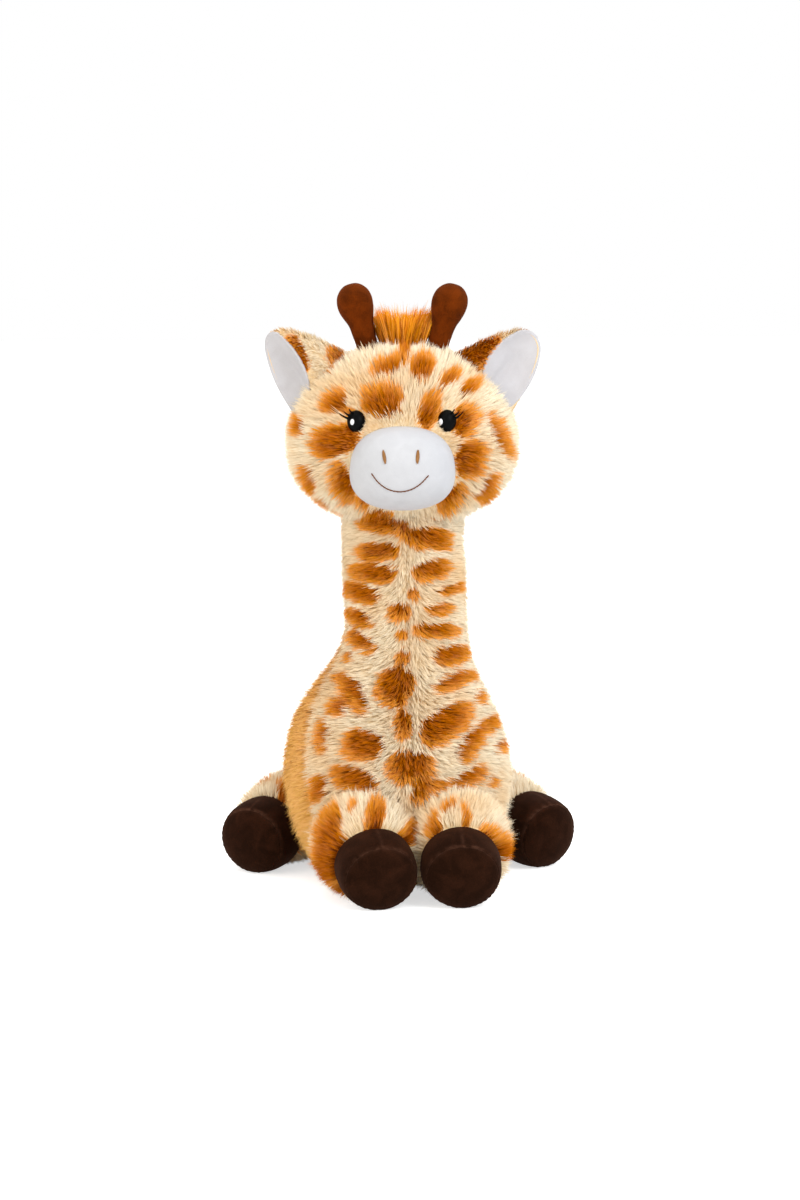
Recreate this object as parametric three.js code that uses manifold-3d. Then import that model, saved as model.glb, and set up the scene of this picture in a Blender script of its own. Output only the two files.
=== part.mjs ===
// Seated plush giraffe, in millimetres, +Z up, facing -Y.
// Origin on the floor, at the middle of the seat. Left and right are the giraffe's own.
import * as THREE from 'three';
import { mergeVertices } from 'three/addons/utils/BufferGeometryUtils.js';
import Module from 'manifold-3d';

const wasm = await Module();
wasm.setup();

// Driving sizes: cloth and clearances
const clothWall = 2.5;
const pieceGap = 0.35;
const flatDepth = 0.5;
const stitchThickness = 1.1;
const cutOverrun = 60;
const sliverSize = 0.03;

// Driving sizes: body
const neckJointHeight = 247;
const neckJointLean = 1.5;
const neckJointBack = 2;
const neckRadius = 37;
const seatHalfWidth = 68;
const seatHalfDepth = 70;
const basePanelHeight = 9;
const pelletBagHalfWidth = 46;
const pelletBagHalfHeight = 13;

// Driving sizes: head
const headHeight = 111;
const headHalfWidth = 71;
const headHalfDepth = 56;
const headDrop = 4;
const headForward = 8;
const headTurnDegrees = -7;
const muzzleHalfWidth = 34.5;
const muzzleHalfHeight = 27.5;
const muzzleHalfDepth = 33;
const muzzleForward = 57;
const muzzleRise = 36;
const eyeWidth = 12;
const eyeHeight = 14.5;
const eyeSpacing = 59.5;
const eyeRise = 66.2;
const nostrilWidth = 2.7;
const nostrilHeight = 9.4;
const nostrilSpacing = 22;
const nostrilRise = 45.5;
const smileHalfWidth = 18.8;
const smileDepth = 11.5;
const smileRise = 34.8;
const smileThread = 1.4;

// Driving sizes: horns, mane and ears
const hornLength = 52.5;
const hornStemRadius = 7.1;
const hornKnobRadius = 12.3;
const hornKnobOut = 0.6;
const hornSeat = 8;
const hornSink = 4;
const hornSpacing = 42;
const hornBack = 4;
const hornTiltDegrees = 15.5;
const maneHalfWidth = 14;
const tuftHeight = 23;
const headCrestHeight = 17;
const napeGap = 14;
const neckCrestHalfWidth = 10;
const neckCrestHeight = 10;
const neckCrestLength = 118;
const earLength = 49;
const earHalfWidth = 26;
const earHalfDepth = 12;
const earRootAcross = 53;
const earRootRise = 85;
const earTiltDegrees = 48;
const earSwingDegrees = 15;
const earLiningThickness = 1.5;

// Driving sizes: legs and hooves
const hoofRadius = 26.5;
const hoofLength = 33;
const hoofFlatShare = 0.95;
const frontShoulderRadius = 29.5;
const frontAnkleRadius = 25;
const frontAnkleReach = 24;
const frontShoulderAcross = 30.7;
const frontShoulderForward = 68;
const frontPitchDegrees = 15;
const frontToeInDegrees = { left: 3, right: 7 };
const hindHipRadius = 26;
const hindAnkleRadius = 22.5;
const hindAnkleReach = 28;
const hindHipAcross = 71;
const hindHipBack = 48;
const hindPitchDegrees = 8;
const hindSplayDegrees = { left: 34, right: 35 };

// Driving sizes: tail
const tailRootRadius = 7;
const tailEndRadius = 4;
const tailLength = 46;
const tailHeight = 42;
const tailDropDegrees = 24;
const tuftRadius = 8;
const tuftLength = 26;

// Facet counts
const bodySides = 20;
const headSides = 20;
const limbSides = 12;
const socketSides = 20;
const hornSides = 12;
const muzzleSides = 16;
const earSides = 14;
const crestSides = 12;
const tailSides = 12;
const eyePoints = 16;
const nostrilPoints = 10;
const smileSteps = 10;
const ballRings = 6;

// Outline tables: each row is a share along the form, then shares of its half width and depth
const bodyProfileShares = [
  [-0.004, 0.42, 0.5],
  [0.012, 0.62, 0.68],
  [0.045, 0.76, 0.84],
  [0.1, 0.86, 0.96],
  [0.165, 0.935, 1],
  [0.24, 0.985, 0.985],
  [0.33, 1, 0.93],
  [0.4, 0.955, 0.86],
  [0.46, 0.865, 0.78],
  [0.52, 0.755, 0.69],
  [0.59, 0.645, 0.61],
  [0.68, 0.572, 0.565],
  [0.8, 0.548, 0.54],
];
const bodyBackShares = [0.0, 0.0, 0.0, 0.0, 0.0, 0.02, 0.06, 0.1, 0.14, 0.18, 0.22, 0.4, 0.7];
const headProfileShares = [
  [0, 0],
  [0.035, 0.4],
  [0.1, 0.65],
  [0.19, 0.84],
  [0.31, 0.965],
  [0.43, 1],
  [0.56, 0.98],
  [0.69, 0.9],
  [0.81, 0.765],
  [0.905, 0.585],
  [0.97, 0.35],
  [1, 0],
];
const hoofProfileShares = [
  [0.1, 0.975],
  [0.38, 1],
  [0.66, 0.955],
  [0.86, 0.8],
  [0.955, 0.5],
  [1, 0],
];
const hoofSoleShare = 0.86;
// Horn: shares along it, of its radius and of the knob's way out
const hornStemShares = [
  [0, 0, 0],
  [0, 1, 0],
  [0.28, 1.09, 0.05],
  [0.44, 1.25, 0.3],
];
const hornKnobShares = [
  [0.56, 0.87, 0.65],
  [0.66, 0.97, 0.95],
  [0.76, 1, 1],
  [0.86, 0.91, 1],
  [0.94, 0.69, 0.95],
  [0.985, 0.4, 0.9],
  [1, 0, 0.9],
];
// Side seams of the body: shares of the neck joint's height and of the seat's half depth, forward below zero
const sideSeamShares = [
  [-1, -0.63],
  [0, -0.63],
  [0.21, -0.55],
  [0.39, -0.4],
  [0.65, 0.06],
  [2, 0.06],
];
// Ball end to ankle: how far along the waist lies, and how much of the ball's extra radius is left there
const waistShares = { along: 0.5, left: 0.3 };
const limbBallEndDegrees = 24;
const tailProfileShares = [
  [-1, 0],
  [-0.71, 0.71],
  [0, 1],
  [1, 0.8],
];
const tailTuftShares = [
  [0, 0],
  [0, 0.5],
  [0.4, 1],
  [0.8, 0.6],
  [1, 0],
];
const neckCrestShares = [
  [0, 0.4],
  [0.12, 0.85],
  [0.35, 1],
  [0.65, 0.95],
  [0.88, 0.7],
  [1, 0.3],
];
// Head mane: quarter turns back from the crown, then shares of its half width and height
const headTuftShares = [
  [-0.12, 0.6, 0.5],
  [0, 0.95, 0.95],
  [0.12, 1, 1],
];
const headCrestShares = [
  [0.25, 0.8, 0.8],
  [0.4, 0.7, 0.62],
  [0.62, 0.68, 0.6],
  [0.84, 0.65, 0.58],
  [1.02, 0.55, 0.45],
  [1.12, 0.3, 0.2],
];
const headMiddleShare = 0.43;
// Ear: a leaf, by shares of its length, half width and half depth
const earLeafShares = [
  [-0.25, 0, 0],
  [-0.25, 0.95, 0.8],
  [0, 1, 1],
  [0.27, 0.86, 1],
  [0.53, 0.68, 0.86],
  [0.76, 0.47, 0.62],
  [0.91, 0.26, 0.38],
  [1, 0, 0],
];
// The way each ear's opening looks: outward across the ear, forward and along it, then how far out it lies
const earOpeningShares = { left: [0.34, -0.93, 0.15, 0.84], right: [0.46, -0.86, 0.21, 1.16] };
const earSweepShares = [-1, -0.5, 0, 0.5, 1];

const radians = THREE.MathUtils.degToRad;

// A closed three.js geometry as one solid, its faces turned outward.
function solidOf(geometry) {
  const bare = geometry.clone();
  bare.deleteAttribute('normal');
  bare.deleteAttribute('uv');
  const merged = mergeVertices(bare);
  const places = merged.attributes.position.array;
  const faces = [];
  let volume = 0;
  const corners = [new THREE.Vector3(), new THREE.Vector3(), new THREE.Vector3()];
  for (let i = 0; i < merged.index.count; i += 3) {
    const face = [merged.index.getX(i), merged.index.getX(i + 1), merged.index.getX(i + 2)];
    if (new Set(face).size < 3) continue;
    face.forEach((vertex, k) => corners[k].fromArray(places, 3 * vertex));
    volume += corners[0].dot(corners[1].clone().cross(corners[2]));
    faces.push(face);
  }
  const triVerts = new Uint32Array(faces.flatMap((f) => (volume < 0 ? [f[0], f[2], f[1]] : f)));
  const vertProperties = new Float32Array(places);
  return new wasm.Manifold(new wasm.Mesh({ numProp: 3, vertProperties, triVerts }));
}

// The same solid as a three.js geometry, without the slivers that its cuts left.
function geometryOf(solid) {
  const mesh = solid.asOriginal().simplify(sliverSize).getMesh();
  const geometry = new THREE.BufferGeometry();
  geometry.setAttribute('position', new THREE.BufferAttribute(mesh.vertProperties, 3));
  geometry.setIndex(new THREE.BufferAttribute(mesh.triVerts, 1));
  geometry.computeVertexNormals();
  return geometry;
}

// A closed form moved outward along its vertex normals, or inward where amount is below zero.
function grown(geometry, amount) {
  const bare = geometry.clone();
  bare.deleteAttribute('normal');
  bare.deleteAttribute('uv');
  const merged = mergeVertices(bare);
  merged.computeVertexNormals();
  const { position, normal } = merged.attributes;
  for (let i = 0; i < position.count; i += 1) {
    const place = new THREE.Vector3().fromBufferAttribute(position, i);
    place.addScaledVector(new THREE.Vector3().fromBufferAttribute(normal, i), amount);
    position.setXYZ(i, place.x, place.y, place.z);
  }
  return merged;
}

function placed(solid, matrix) {
  return solid.transform(matrix.elements);
}

function turned(solid, pivot, axis, degrees) {
  const there = new THREE.Matrix4().makeTranslation(pivot);
  const back = there.clone().invert();
  const spin = new THREE.Matrix4().makeRotationAxis(axis, radians(degrees));
  return placed(solid, there.multiply(spin).multiply(back));
}

// Closed loft of ellipses across z; a ring with no width closes to a point.
function loft(rings, sides) {
  const places = [];
  const faces = [];
  const starts = rings.map((ring) => {
    const start = places.length / 3;
    const count = ring.a === 0 ? 1 : sides;
    for (let k = 0; k < count; k += 1) {
      const angle = (2 * Math.PI * k) / sides;
      places.push(ring.x + ring.a * Math.cos(angle), ring.y + ring.b * Math.sin(angle), ring.z);
    }
    return { start, count };
  });
  for (let i = 0; i + 1 < rings.length; i += 1) {
    const [low, high] = [starts[i], starts[i + 1]];
    for (let k = 0; k < sides; k += 1) {
      const next = (k + 1) % sides;
      if (low.count > 1) {
        faces.push(low.start + k, low.start + next, high.start + (high.count > 1 ? next : 0));
      }
      if (high.count > 1) {
        faces.push(high.start + next, high.start + k, low.start + (low.count > 1 ? k : 0));
      }
    }
  }
  const geometry = new THREE.BufferGeometry();
  geometry.setAttribute('position', new THREE.Float32BufferAttribute(places, 3));
  geometry.setIndex(faces);
  return geometry;
}

// A form turned about z from rows of height and radius, and a second radius where it isn't round.
function spun(rows, sides) {
  return loft(rows.map(([z, r, b = r]) => ({ x: 0, y: 0, z, a: r, b })), sides);
}

// A ball whose flat facets all stay outside the given radius.
function ballAround(radius) {
  const facet = Math.cos(Math.PI / socketSides);
  return solidOf(new THREE.SphereGeometry(radius / facet ** 2, socketSides, socketSides / 2));
}

function ellipsoid(a, b, c, sides) {
  return new THREE.SphereGeometry(1, sides, sides / 2).rotateX(Math.PI / 2).scale(a, b, c);
}

// Everything on one side of the plane z = height.
const spaceSize = 4 * (neckJointHeight + cutOverrun);
function spaceAt(middle) {
  return solidOf(new THREE.BoxGeometry(spaceSize, spaceSize, spaceSize).translate(0, 0, middle));
}

function above(height) {
  return spaceAt(height + spaceSize / 2);
}

function below(height) {
  return spaceAt(height - spaceSize / 2);
}

// Everything further than a distance along an axis.
function sideOf(axis, from) {
  const tilt = new THREE.Quaternion().setFromUnitVectors(new THREE.Vector3(0, 0, 1), axis);
  return placed(above(from), new THREE.Matrix4().makeRotationFromQuaternion(tilt));
}

const xAxis = new THREE.Vector3(1, 0, 0);
const yAxis = new THREE.Vector3(0, 1, 0);
const neckJoint = new THREE.Vector3(neckJointLean, neckJointBack, neckJointHeight);
const root = new THREE.Group();

function cloth(colour, roughness = 0.95) {
  return new THREE.MeshStandardMaterial({ color: colour, roughness, metalness: 0 });
}

const materials = {
  spottedFur: cloth(0xe0b070),
  goldenFur: cloth(0xdca560),
  longFur: cloth(0xd0801f),
  hoofFur: cloth(0x2e1c16, 0.85),
  hornFur: cloth(0x6a2a08, 0.85),
  whiteFur: cloth(0xf0f0f4, 0.9),
  liningFur: cloth(0xe6e6ea, 0.9),
  eyeThread: cloth(0x0a0a0a, 0.35),
  noseThread: cloth(0xb98c66, 0.6),
  smileThread: cloth(0x7a4a28, 0.6),
  fibre: cloth(0xf4f2ec, 1),
  bagCloth: cloth(0xc9c2b4, 0.9),
};

function addPiece(parent, name, solid, material) {
  const mesh = new THREE.Mesh(geometryOf(solid), material);
  mesh.name = name;
  parent.add(mesh);
}

// Limbs: a ball root at the joint, a tapering shaft and a hoof, along +z from the joint
function limbForm({ rootRadius, ankleRadius, ankleReach }) {
  const rows = [[-rootRadius, 0]];
  const lastAngle = radians(limbBallEndDegrees);
  for (let k = 1; k <= ballRings; k += 1) {
    const angle = -Math.PI / 2 + ((Math.PI / 2 + lastAngle) * k) / ballRings;
    rows.push([rootRadius * Math.sin(angle), rootRadius * Math.cos(angle)]);
  }
  const [ballEnd, ballEdge] = rows[rows.length - 1];
  rows.push([
    ballEnd + (ankleReach - ballEnd) * waistShares.along,
    ankleRadius + (ballEdge - ankleRadius) * waistShares.left,
  ]);
  rows.push([ankleReach, ankleRadius]);
  for (const [along, out] of hoofProfileShares) {
    const radius = out * hoofRadius;
    rows.push([ankleReach + along * hoofLength, radius, radius * hoofFlatShare]);
  }
  return spun(rows, limbSides);
}

// Turns a limb's +z to its direction: level and forward, then dipped and turned sideways.
function limbTurn(pitchDegrees, yawDegrees) {
  return new THREE.Matrix4()
    .makeRotationZ(radians(yawDegrees))
    .multiply(new THREE.Matrix4().makeRotationX(Math.PI / 2 + radians(pitchDegrees)));
}

function lowestOf(geometry) {
  geometry.computeBoundingBox();
  return geometry.boundingBox.min.z;
}

// Joint height at which the hoof's lowest point lies flatDepth under the floor.
function limbPlace(limb) {
  const lowest = lowestOf(limb.form.clone().applyMatrix4(limbTurn(limb.pitch, limb.yaw)));
  return new THREE.Vector3(limb.across, limb.back, -lowest - flatDepth);
}

const frontSizes = {
  rootRadius: frontShoulderRadius,
  ankleRadius: frontAnkleRadius,
  ankleReach: frontAnkleReach,
};
const hindSizes = {
  rootRadius: hindHipRadius,
  ankleRadius: hindAnkleRadius,
  ankleReach: hindAnkleReach,
};
const limbs = [];
for (const [side, sign] of [['left', 1], ['right', -1]]) {
  limbs.push({
    name: `front_${side}`,
    ...frontSizes,
    form: limbForm(frontSizes),
    across: sign * frontShoulderAcross,
    back: -frontShoulderForward,
    pitch: frontPitchDegrees,
    yaw: -sign * frontToeInDegrees[side],
  });
  limbs.push({
    name: `hind_${side}`,
    ...hindSizes,
    form: limbForm(hindSizes),
    across: sign * hindHipAcross,
    back: hindHipBack,
    pitch: hindPitchDegrees,
    yaw: sign * hindSplayDegrees[side],
  });
}
for (const limb of limbs) {
  limb.joint = limbPlace(limb);
  limb.matrix = limbTurn(limb.pitch, limb.yaw).setPosition(limb.joint);
}

// Body: a pear of ellipses that draws in to a round neck and ends in a ball inside the head
function bodyForm() {
  const rings = bodyProfileShares.map(([height, wide, deep], i) => ({
    x: neckJointLean * height,
    y: neckJointBack * bodyBackShares[i],
    z: height * neckJointHeight,
    a: wide * seatHalfWidth,
    b: deep * seatHalfDepth,
  }));
  const foot = rings[0];
  rings.unshift({ ...foot, z: foot.z - flatDepth, a: 0, b: 0 });
  for (let k = 0; k <= ballRings; k += 1) {
    const angle = (Math.PI / 2) * (k / ballRings);
    const radius = k === ballRings ? 0 : neckRadius * Math.cos(angle);
    rings.push({
      x: neckJoint.x,
      y: neckJoint.y,
      z: neckJoint.z + neckRadius * Math.sin(angle),
      a: radius,
      b: radius,
    });
  }
  return loft(rings, bodySides);
}

const tailJoint = new THREE.Vector3(0, seatHalfDepth, tailHeight);
const bodyShape = bodyForm();
const sockets = wasm.Manifold.union([
  ...limbs.map((limb) => ballAround(limb.rootRadius + pieceGap).translate(limb.joint.toArray())),
  ballAround(tailRootRadius + pieceGap).translate(tailJoint.toArray()),
]);

function bodySolid(inset) {
  return solidOf(grown(bodyShape, -inset)).intersect(above(inset)).subtract(sockets);
}

// Everything in front of the side seams, moved back by an amount.
function beforeSideSeams(amount) {
  const seam = sideSeamShares.map(
    ([height, back]) => new THREE.Vector2(back * seatHalfDepth + amount, height * neckJointHeight),
  );
  const front = [seam[seam.length - 1], seam[0]].map(({ y }) => new THREE.Vector2(-spaceSize, y));
  const prism = new THREE.ExtrudeGeometry(new THREE.Shape([...seam, ...front]), {
    depth: spaceSize,
    bevelEnabled: false,
  });
  const lay = new THREE.Matrix4().makeBasis(yAxis, new THREE.Vector3(0, 0, 1), xAxis);
  return solidOf(prism.applyMatrix4(lay).translate(-spaceSize / 2, 0, 0));
}

const bodyCover = bodySolid(0).subtract(bodySolid(clothWall));
const halfGap = pieceGap / 2;
const aboveBase = bodyCover.intersect(above(basePanelHeight + halfGap));
const basePanel = bodyCover.intersect(below(basePanelHeight - halfGap));
const chest = aboveBase.intersect(beforeSideSeams(-halfGap));
const chestRight = chest.intersect(sideOf(xAxis.clone().negate(), halfGap));
const back = aboveBase.subtract(beforeSideSeams(halfGap));
addPiece(root, 'base_panel', basePanel, materials.goldenFur);
addPiece(root, 'chest_panel_left', chest.intersect(sideOf(xAxis, halfGap)), materials.spottedFur);
addPiece(root, 'chest_panel_right', chestRight, materials.spottedFur);
addPiece(root, 'back_panel', back, materials.goldenFur);

const stuffingInset = clothWall + pieceGap;
const bagPlace = [0, 0, stuffingInset + pelletBagHalfHeight - flatDepth];
const bagForm = ellipsoid(pelletBagHalfWidth, pelletBagHalfWidth, pelletBagHalfHeight, muzzleSides);
const bagSolid = solidOf(bagForm).translate(bagPlace).intersect(above(stuffingInset));
const bagRoom = solidOf(grown(bagForm, pieceGap)).translate(bagPlace);
addPiece(root, 'pellet_bag', bagSolid, materials.bagCloth);
addPiece(root, 'body_stuffing', bodySolid(stuffingInset).subtract(bagRoom), materials.fibre);

// Ridge of pile along a midline path, cut to what it stands on
function crest(stations) {
  const sides = crestSides;
  const places = [];
  for (const { y, z, wide, tall, lean } of stations) {
    for (let k = 0; k < sides; k += 1) {
      const angle = (2 * Math.PI * k) / sides;
      const out = tall * Math.sin(angle);
      places.push([wide * Math.cos(angle), y + out * Math.sin(lean), z + out * Math.cos(lean)]);
    }
  }
  const ends = [stations[0], stations[stations.length - 1]].map(({ y, z }) => [0, y, z]);
  const faces = [];
  for (let i = 0; i + 1 < stations.length; i += 1) {
    for (let k = 0; k < sides; k += 1) {
      const [a, b] = [i * sides + k, i * sides + ((k + 1) % sides)];
      faces.push(a, b, b + sides, a, b + sides, a + sides);
    }
  }
  const [firstEnd, lastEnd] = [places.length, places.length + 1];
  const lastRing = (stations.length - 1) * sides;
  for (let k = 0; k < sides; k += 1) {
    const next = (k + 1) % sides;
    faces.push(firstEnd, next, k);
    faces.push(lastEnd, lastRing + k, lastRing + next);
  }
  const geometry = new THREE.BufferGeometry();
  const flat = [...places, ...ends].flat();
  geometry.setAttribute('position', new THREE.Float32BufferAttribute(flat, 3));
  geometry.setIndex(faces);
  return solidOf(geometry);
}

// Half depth and middle of the body at a height between its outline rows.
function bodyBackAt(height) {
  const share = height / neckJointHeight;
  const rows = bodyProfileShares.map(([h, , deep], i) => ({
    h,
    back: deep * seatHalfDepth + neckJointBack * bodyBackShares[i],
  }));
  rows.push({ h: 1, back: neckRadius + neckJointBack });
  const high = rows.findIndex((row) => row.h >= share);
  const [low, top] = [rows[high - 1], rows[high]];
  return THREE.MathUtils.mapLinear(share, low.h, top.h, low.back, top.back);
}

const neckCrest = crest(
  neckCrestShares.map(([along, share]) => {
    const z = neckJointHeight - napeGap - along * neckCrestLength;
    const [wide, tall] = [neckCrestHalfWidth * share, neckCrestHeight * share];
    return { y: bodyBackAt(z), z, wide, tall, lean: Math.PI / 2 };
  }),
);
const bodyRoom = solidOf(grown(bodyShape, pieceGap));
addPiece(root, 'neck_mane', neckCrest.subtract(bodyRoom), materials.longFur);

// Head: placed and turned at the neck joint, which is the origin of its group
const head = new THREE.Group();
head.position.copy(neckJoint);
head.rotation.z = radians(headTurnDegrees);
root.add(head);

const headForm = loft(
  headProfileShares.map(([height, share]) => ({
    x: 0,
    y: -headForward,
    z: height * headHeight - headDrop,
    a: share * headHalfWidth,
    b: share * headHalfDepth,
  })),
  headSides,
);
const neckSocket = ballAround(neckRadius + pieceGap);
const muzzleForm = ellipsoid(muzzleHalfWidth, muzzleHalfDepth, muzzleHalfHeight, muzzleSides);
muzzleForm.translate(0, -muzzleForward, muzzleRise);

function headSolid(inset) {
  return solidOf(grown(headForm, -inset));
}

function muzzleSolid(inset) {
  return solidOf(grown(muzzleForm, -inset));
}

const headCover = headSolid(0)
  .subtract(headSolid(clothWall))
  .subtract(neckSocket)
  .subtract(muzzleSolid(-pieceGap));
addPiece(head, 'head_cover', headCover, materials.spottedFur);
const headStuffing = headSolid(stuffingInset).subtract(neckSocket);
addPiece(head, 'head_stuffing', headStuffing, materials.fibre);
const muzzleCover = muzzleSolid(0).subtract(muzzleSolid(clothWall)).subtract(headSolid(clothWall));
addPiece(head, 'muzzle_cover', muzzleCover, materials.whiteFur);
const muzzleStuffing = muzzleSolid(stuffingInset).subtract(headSolid(clothWall));
addPiece(head, 'muzzle_stuffing', muzzleStuffing, materials.fibre);

// Stitched patches: an outline pushed along y, kept where it lies on a form
function patchOn(shapeSolid, formSolid) {
  return shapeSolid
    .intersect(formSolid(-pieceGap - stitchThickness))
    .subtract(formSolid(-pieceGap));
}

function outlinePrism(points, forward) {
  const shape = new THREE.Shape(points);
  const depth = headHalfDepth + muzzleHalfDepth;
  const prism = new THREE.ExtrudeGeometry(shape, { depth, bevelEnabled: false });
  return solidOf(prism.rotateX(Math.PI / 2).translate(0, -forward, 0));
}

function ovalPoints(x, z, width, height, count) {
  return Array.from({ length: count }, (_, k) => {
    const angle = (2 * Math.PI * k) / count;
    return new THREE.Vector2(x + (width / 2) * Math.cos(angle), z + (height / 2) * Math.sin(angle));
  });
}

for (const [side, sign] of [['left', 1], ['right', -1]]) {
  const eyeOutline = ovalPoints((sign * eyeSpacing) / 2, eyeRise, eyeWidth, eyeHeight, eyePoints);
  const eye = patchOn(outlinePrism(eyeOutline, headForward), headSolid);
  addPiece(head, `eye_${side}`, eye, materials.eyeThread);
  const nostrilX = (sign * nostrilSpacing) / 2;
  const nostrilOutline = ovalPoints(nostrilX, nostrilRise, nostrilWidth, nostrilHeight, nostrilPoints);
  const nostril = patchOn(outlinePrism(nostrilOutline, muzzleForward), muzzleSolid);
  addPiece(head, `nostril_${side}`, nostril, materials.noseThread);
}

// The smile is an arc of one radius through its ends and its lowest point.
const smileRadius = (smileHalfWidth ** 2 + smileDepth ** 2) / (2 * smileDepth);
const smileAngle = Math.asin(smileHalfWidth / smileRadius);
const smileEdge = (radius, direction) =>
  Array.from({ length: smileSteps + 1 }, (_, k) => {
    const angle = direction * smileAngle * (1 - (2 * k) / smileSteps);
    const middle = smileRise - smileDepth + smileRadius;
    return new THREE.Vector2(radius * Math.sin(angle), middle - radius * Math.cos(angle));
  });
const smileOutline = [
  ...smileEdge(smileRadius + smileThread / 2, 1),
  ...smileEdge(smileRadius - smileThread / 2, -1),
];
const smile = outlinePrism(smileOutline, muzzleForward);
addPiece(head, 'smile_stitch', patchOn(smile, muzzleSolid), materials.smileThread);

// Horns: a stem and a knob, standing on the head cover and leaning outward
const hornRing = (radius, sign) => ([along, wide, out]) => ({
  x: sign * out * hornKnobOut,
  y: 0,
  z: along === 0 ? -hornSeat : along * hornLength,
  a: wide * radius,
  b: wide * radius,
});

const headRoom = headSolid(-pieceGap);
for (const [side, sign] of [['left', 1], ['right', -1]]) {
  const tilt = new THREE.Matrix4().makeRotationY(radians(sign * hornTiltDegrees));
  tilt.setPosition((sign * hornSpacing) / 2, -hornBack, headHeight - headDrop - hornSink);
  const rings = [
    ...hornStemShares.map(hornRing(hornStemRadius, sign)),
    ...hornKnobShares.map(hornRing(hornKnobRadius, sign)),
  ];
  const horn = placed(solidOf(loft(rings, hornSides)), tilt).subtract(headRoom);
  addPiece(head, `horn_${side}`, horn, materials.hornFur);
}

// Head mane: a tall tuft between the horns, then a lower crest down to the nape
const headMiddle = headMiddleShare * headHeight - headDrop;
const crestStation = (height) => ([turn, wide, tall]) => {
  const lean = (turn * Math.PI) / 2;
  return {
    y: -headForward + headHalfDepth * Math.sin(lean),
    z: headMiddle + (1 - headMiddleShare) * headHeight * Math.cos(lean),
    wide: maneHalfWidth * wide,
    tall: height * tall,
    lean,
  };
};
const headMane = crest([
  ...headTuftShares.map(crestStation(tuftHeight)),
  ...headCrestShares.map(crestStation(headCrestHeight)),
]);
addPiece(head, 'head_mane', headMane.subtract(headRoom), materials.longFur);

// Ears: cupped leaves, open outward and forward, each swinging about its root line
for (const [side, sign] of [['left', 1], ['right', -1]]) {
  const pivot = new THREE.Vector3(sign * earRootAcross, -headForward, earRootRise);
  const tilt = radians(earTiltDegrees);
  const lay = new THREE.Matrix4().makeRotationY(sign * tilt).setPosition(pivot);
  const leaf = earLeafShares.map(([along, wide, deep]) => ({
    x: 0,
    y: 0,
    z: along * earLength,
    a: wide * earHalfWidth,
    b: deep * earHalfDepth,
  }));
  const form = loft(leaf, earSides).applyMatrix4(lay);
  const axis = new THREE.Vector3(Math.cos(tilt), 0, -sign * Math.sin(tilt));
  const [across, forward, along, offset] = earOpeningShares[side];
  const facing = new THREE.Vector3(sign * across, forward, along).transformDirection(lay);
  const opening = sideOf(facing, pivot.dot(facing) + offset * earHalfDepth);
  const sweep = wasm.Manifold.union(
    earSweepShares.map((share) => turned(headRoom, pivot, axis, share * earSwingDegrees)),
  );
  const wall = (from, thickness) => {
    const hollow = solidOf(grown(form, -from - thickness));
    return solidOf(grown(form, -from)).subtract(hollow).subtract(opening).subtract(sweep);
  };
  addPiece(head, `ear_${side}_fur`, wall(0, clothWall), materials.spottedFur);
  addPiece(head, `ear_${side}_lining`, wall(stuffingInset, earLiningThickness), materials.liningFur);
}

// Legs: each a furry cover, a hoof band and a sole over one stuffing
for (const limb of limbs) {
  const group = new THREE.Group();
  group.applyMatrix4(limb.matrix);
  root.add(group);
  const toLimb = limb.matrix.clone().invert();
  const solid = (inset) => solidOf(grown(limb.form, -inset)).intersect(placed(above(inset), toLimb));
  const cover = solid(0).subtract(solid(clothWall));
  const soleStart = limb.ankleReach + hoofSoleShare * hoofLength;
  const legCover = cover.intersect(below(limb.ankleReach - halfGap));
  const hoof = cover.intersect(above(limb.ankleReach + halfGap));
  const band = hoof.intersect(below(soleStart - halfGap));
  addPiece(group, `${limb.name}_leg_cover`, legCover, materials.spottedFur);
  addPiece(group, `${limb.name}_hoof_band`, band, materials.hoofFur);
  addPiece(group, `${limb.name}_hoof_sole`, hoof.intersect(above(soleStart + halfGap)), materials.hoofFur);
  addPiece(group, `${limb.name}_leg_stuffing`, solid(stuffingInset), materials.fibre);
}

// Tail: a thin stuffed tube from a ball root, with a tuft at its end
const tail = new THREE.Group();
tail.position.copy(tailJoint);
tail.rotation.x = -Math.PI / 2 - radians(tailDropDegrees);
root.add(tail);
const tailForm = spun(
  [
    ...tailProfileShares.map(([along, out]) => [along * tailRootRadius, out * tailRootRadius]),
    [tailLength, tailEndRadius],
    [tailLength, 0],
  ],
  tailSides,
);
addPiece(tail, 'tail_cover', solidOf(tailForm), materials.goldenFur);
const tuftForm = spun(
  tailTuftShares.map(([along, out]) => [along * tuftLength, out * tuftRadius]),
  tailSides,
);
const tuftPlace = [0, 0, tailLength + pieceGap];
addPiece(tail, 'tail_tuft', solidOf(tuftForm).translate(tuftPlace), materials.longFur);

export default root;
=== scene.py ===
"""Seated plush giraffe: cloth, pile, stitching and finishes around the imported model.

Sizes are in millimetres, in the shared frame, and turn to metres where a mesh is made.
"""
import logging
import math
from dataclasses import dataclass, field
from enum import Enum
from itertools import product
from typing import Callable, Iterable, Sequence

import bmesh
import bpy
import numpy as np
from mathutils import Matrix, Vector
from mathutils.bvhtree import BVHTree
from mathutils.kdtree import KDTree


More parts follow.
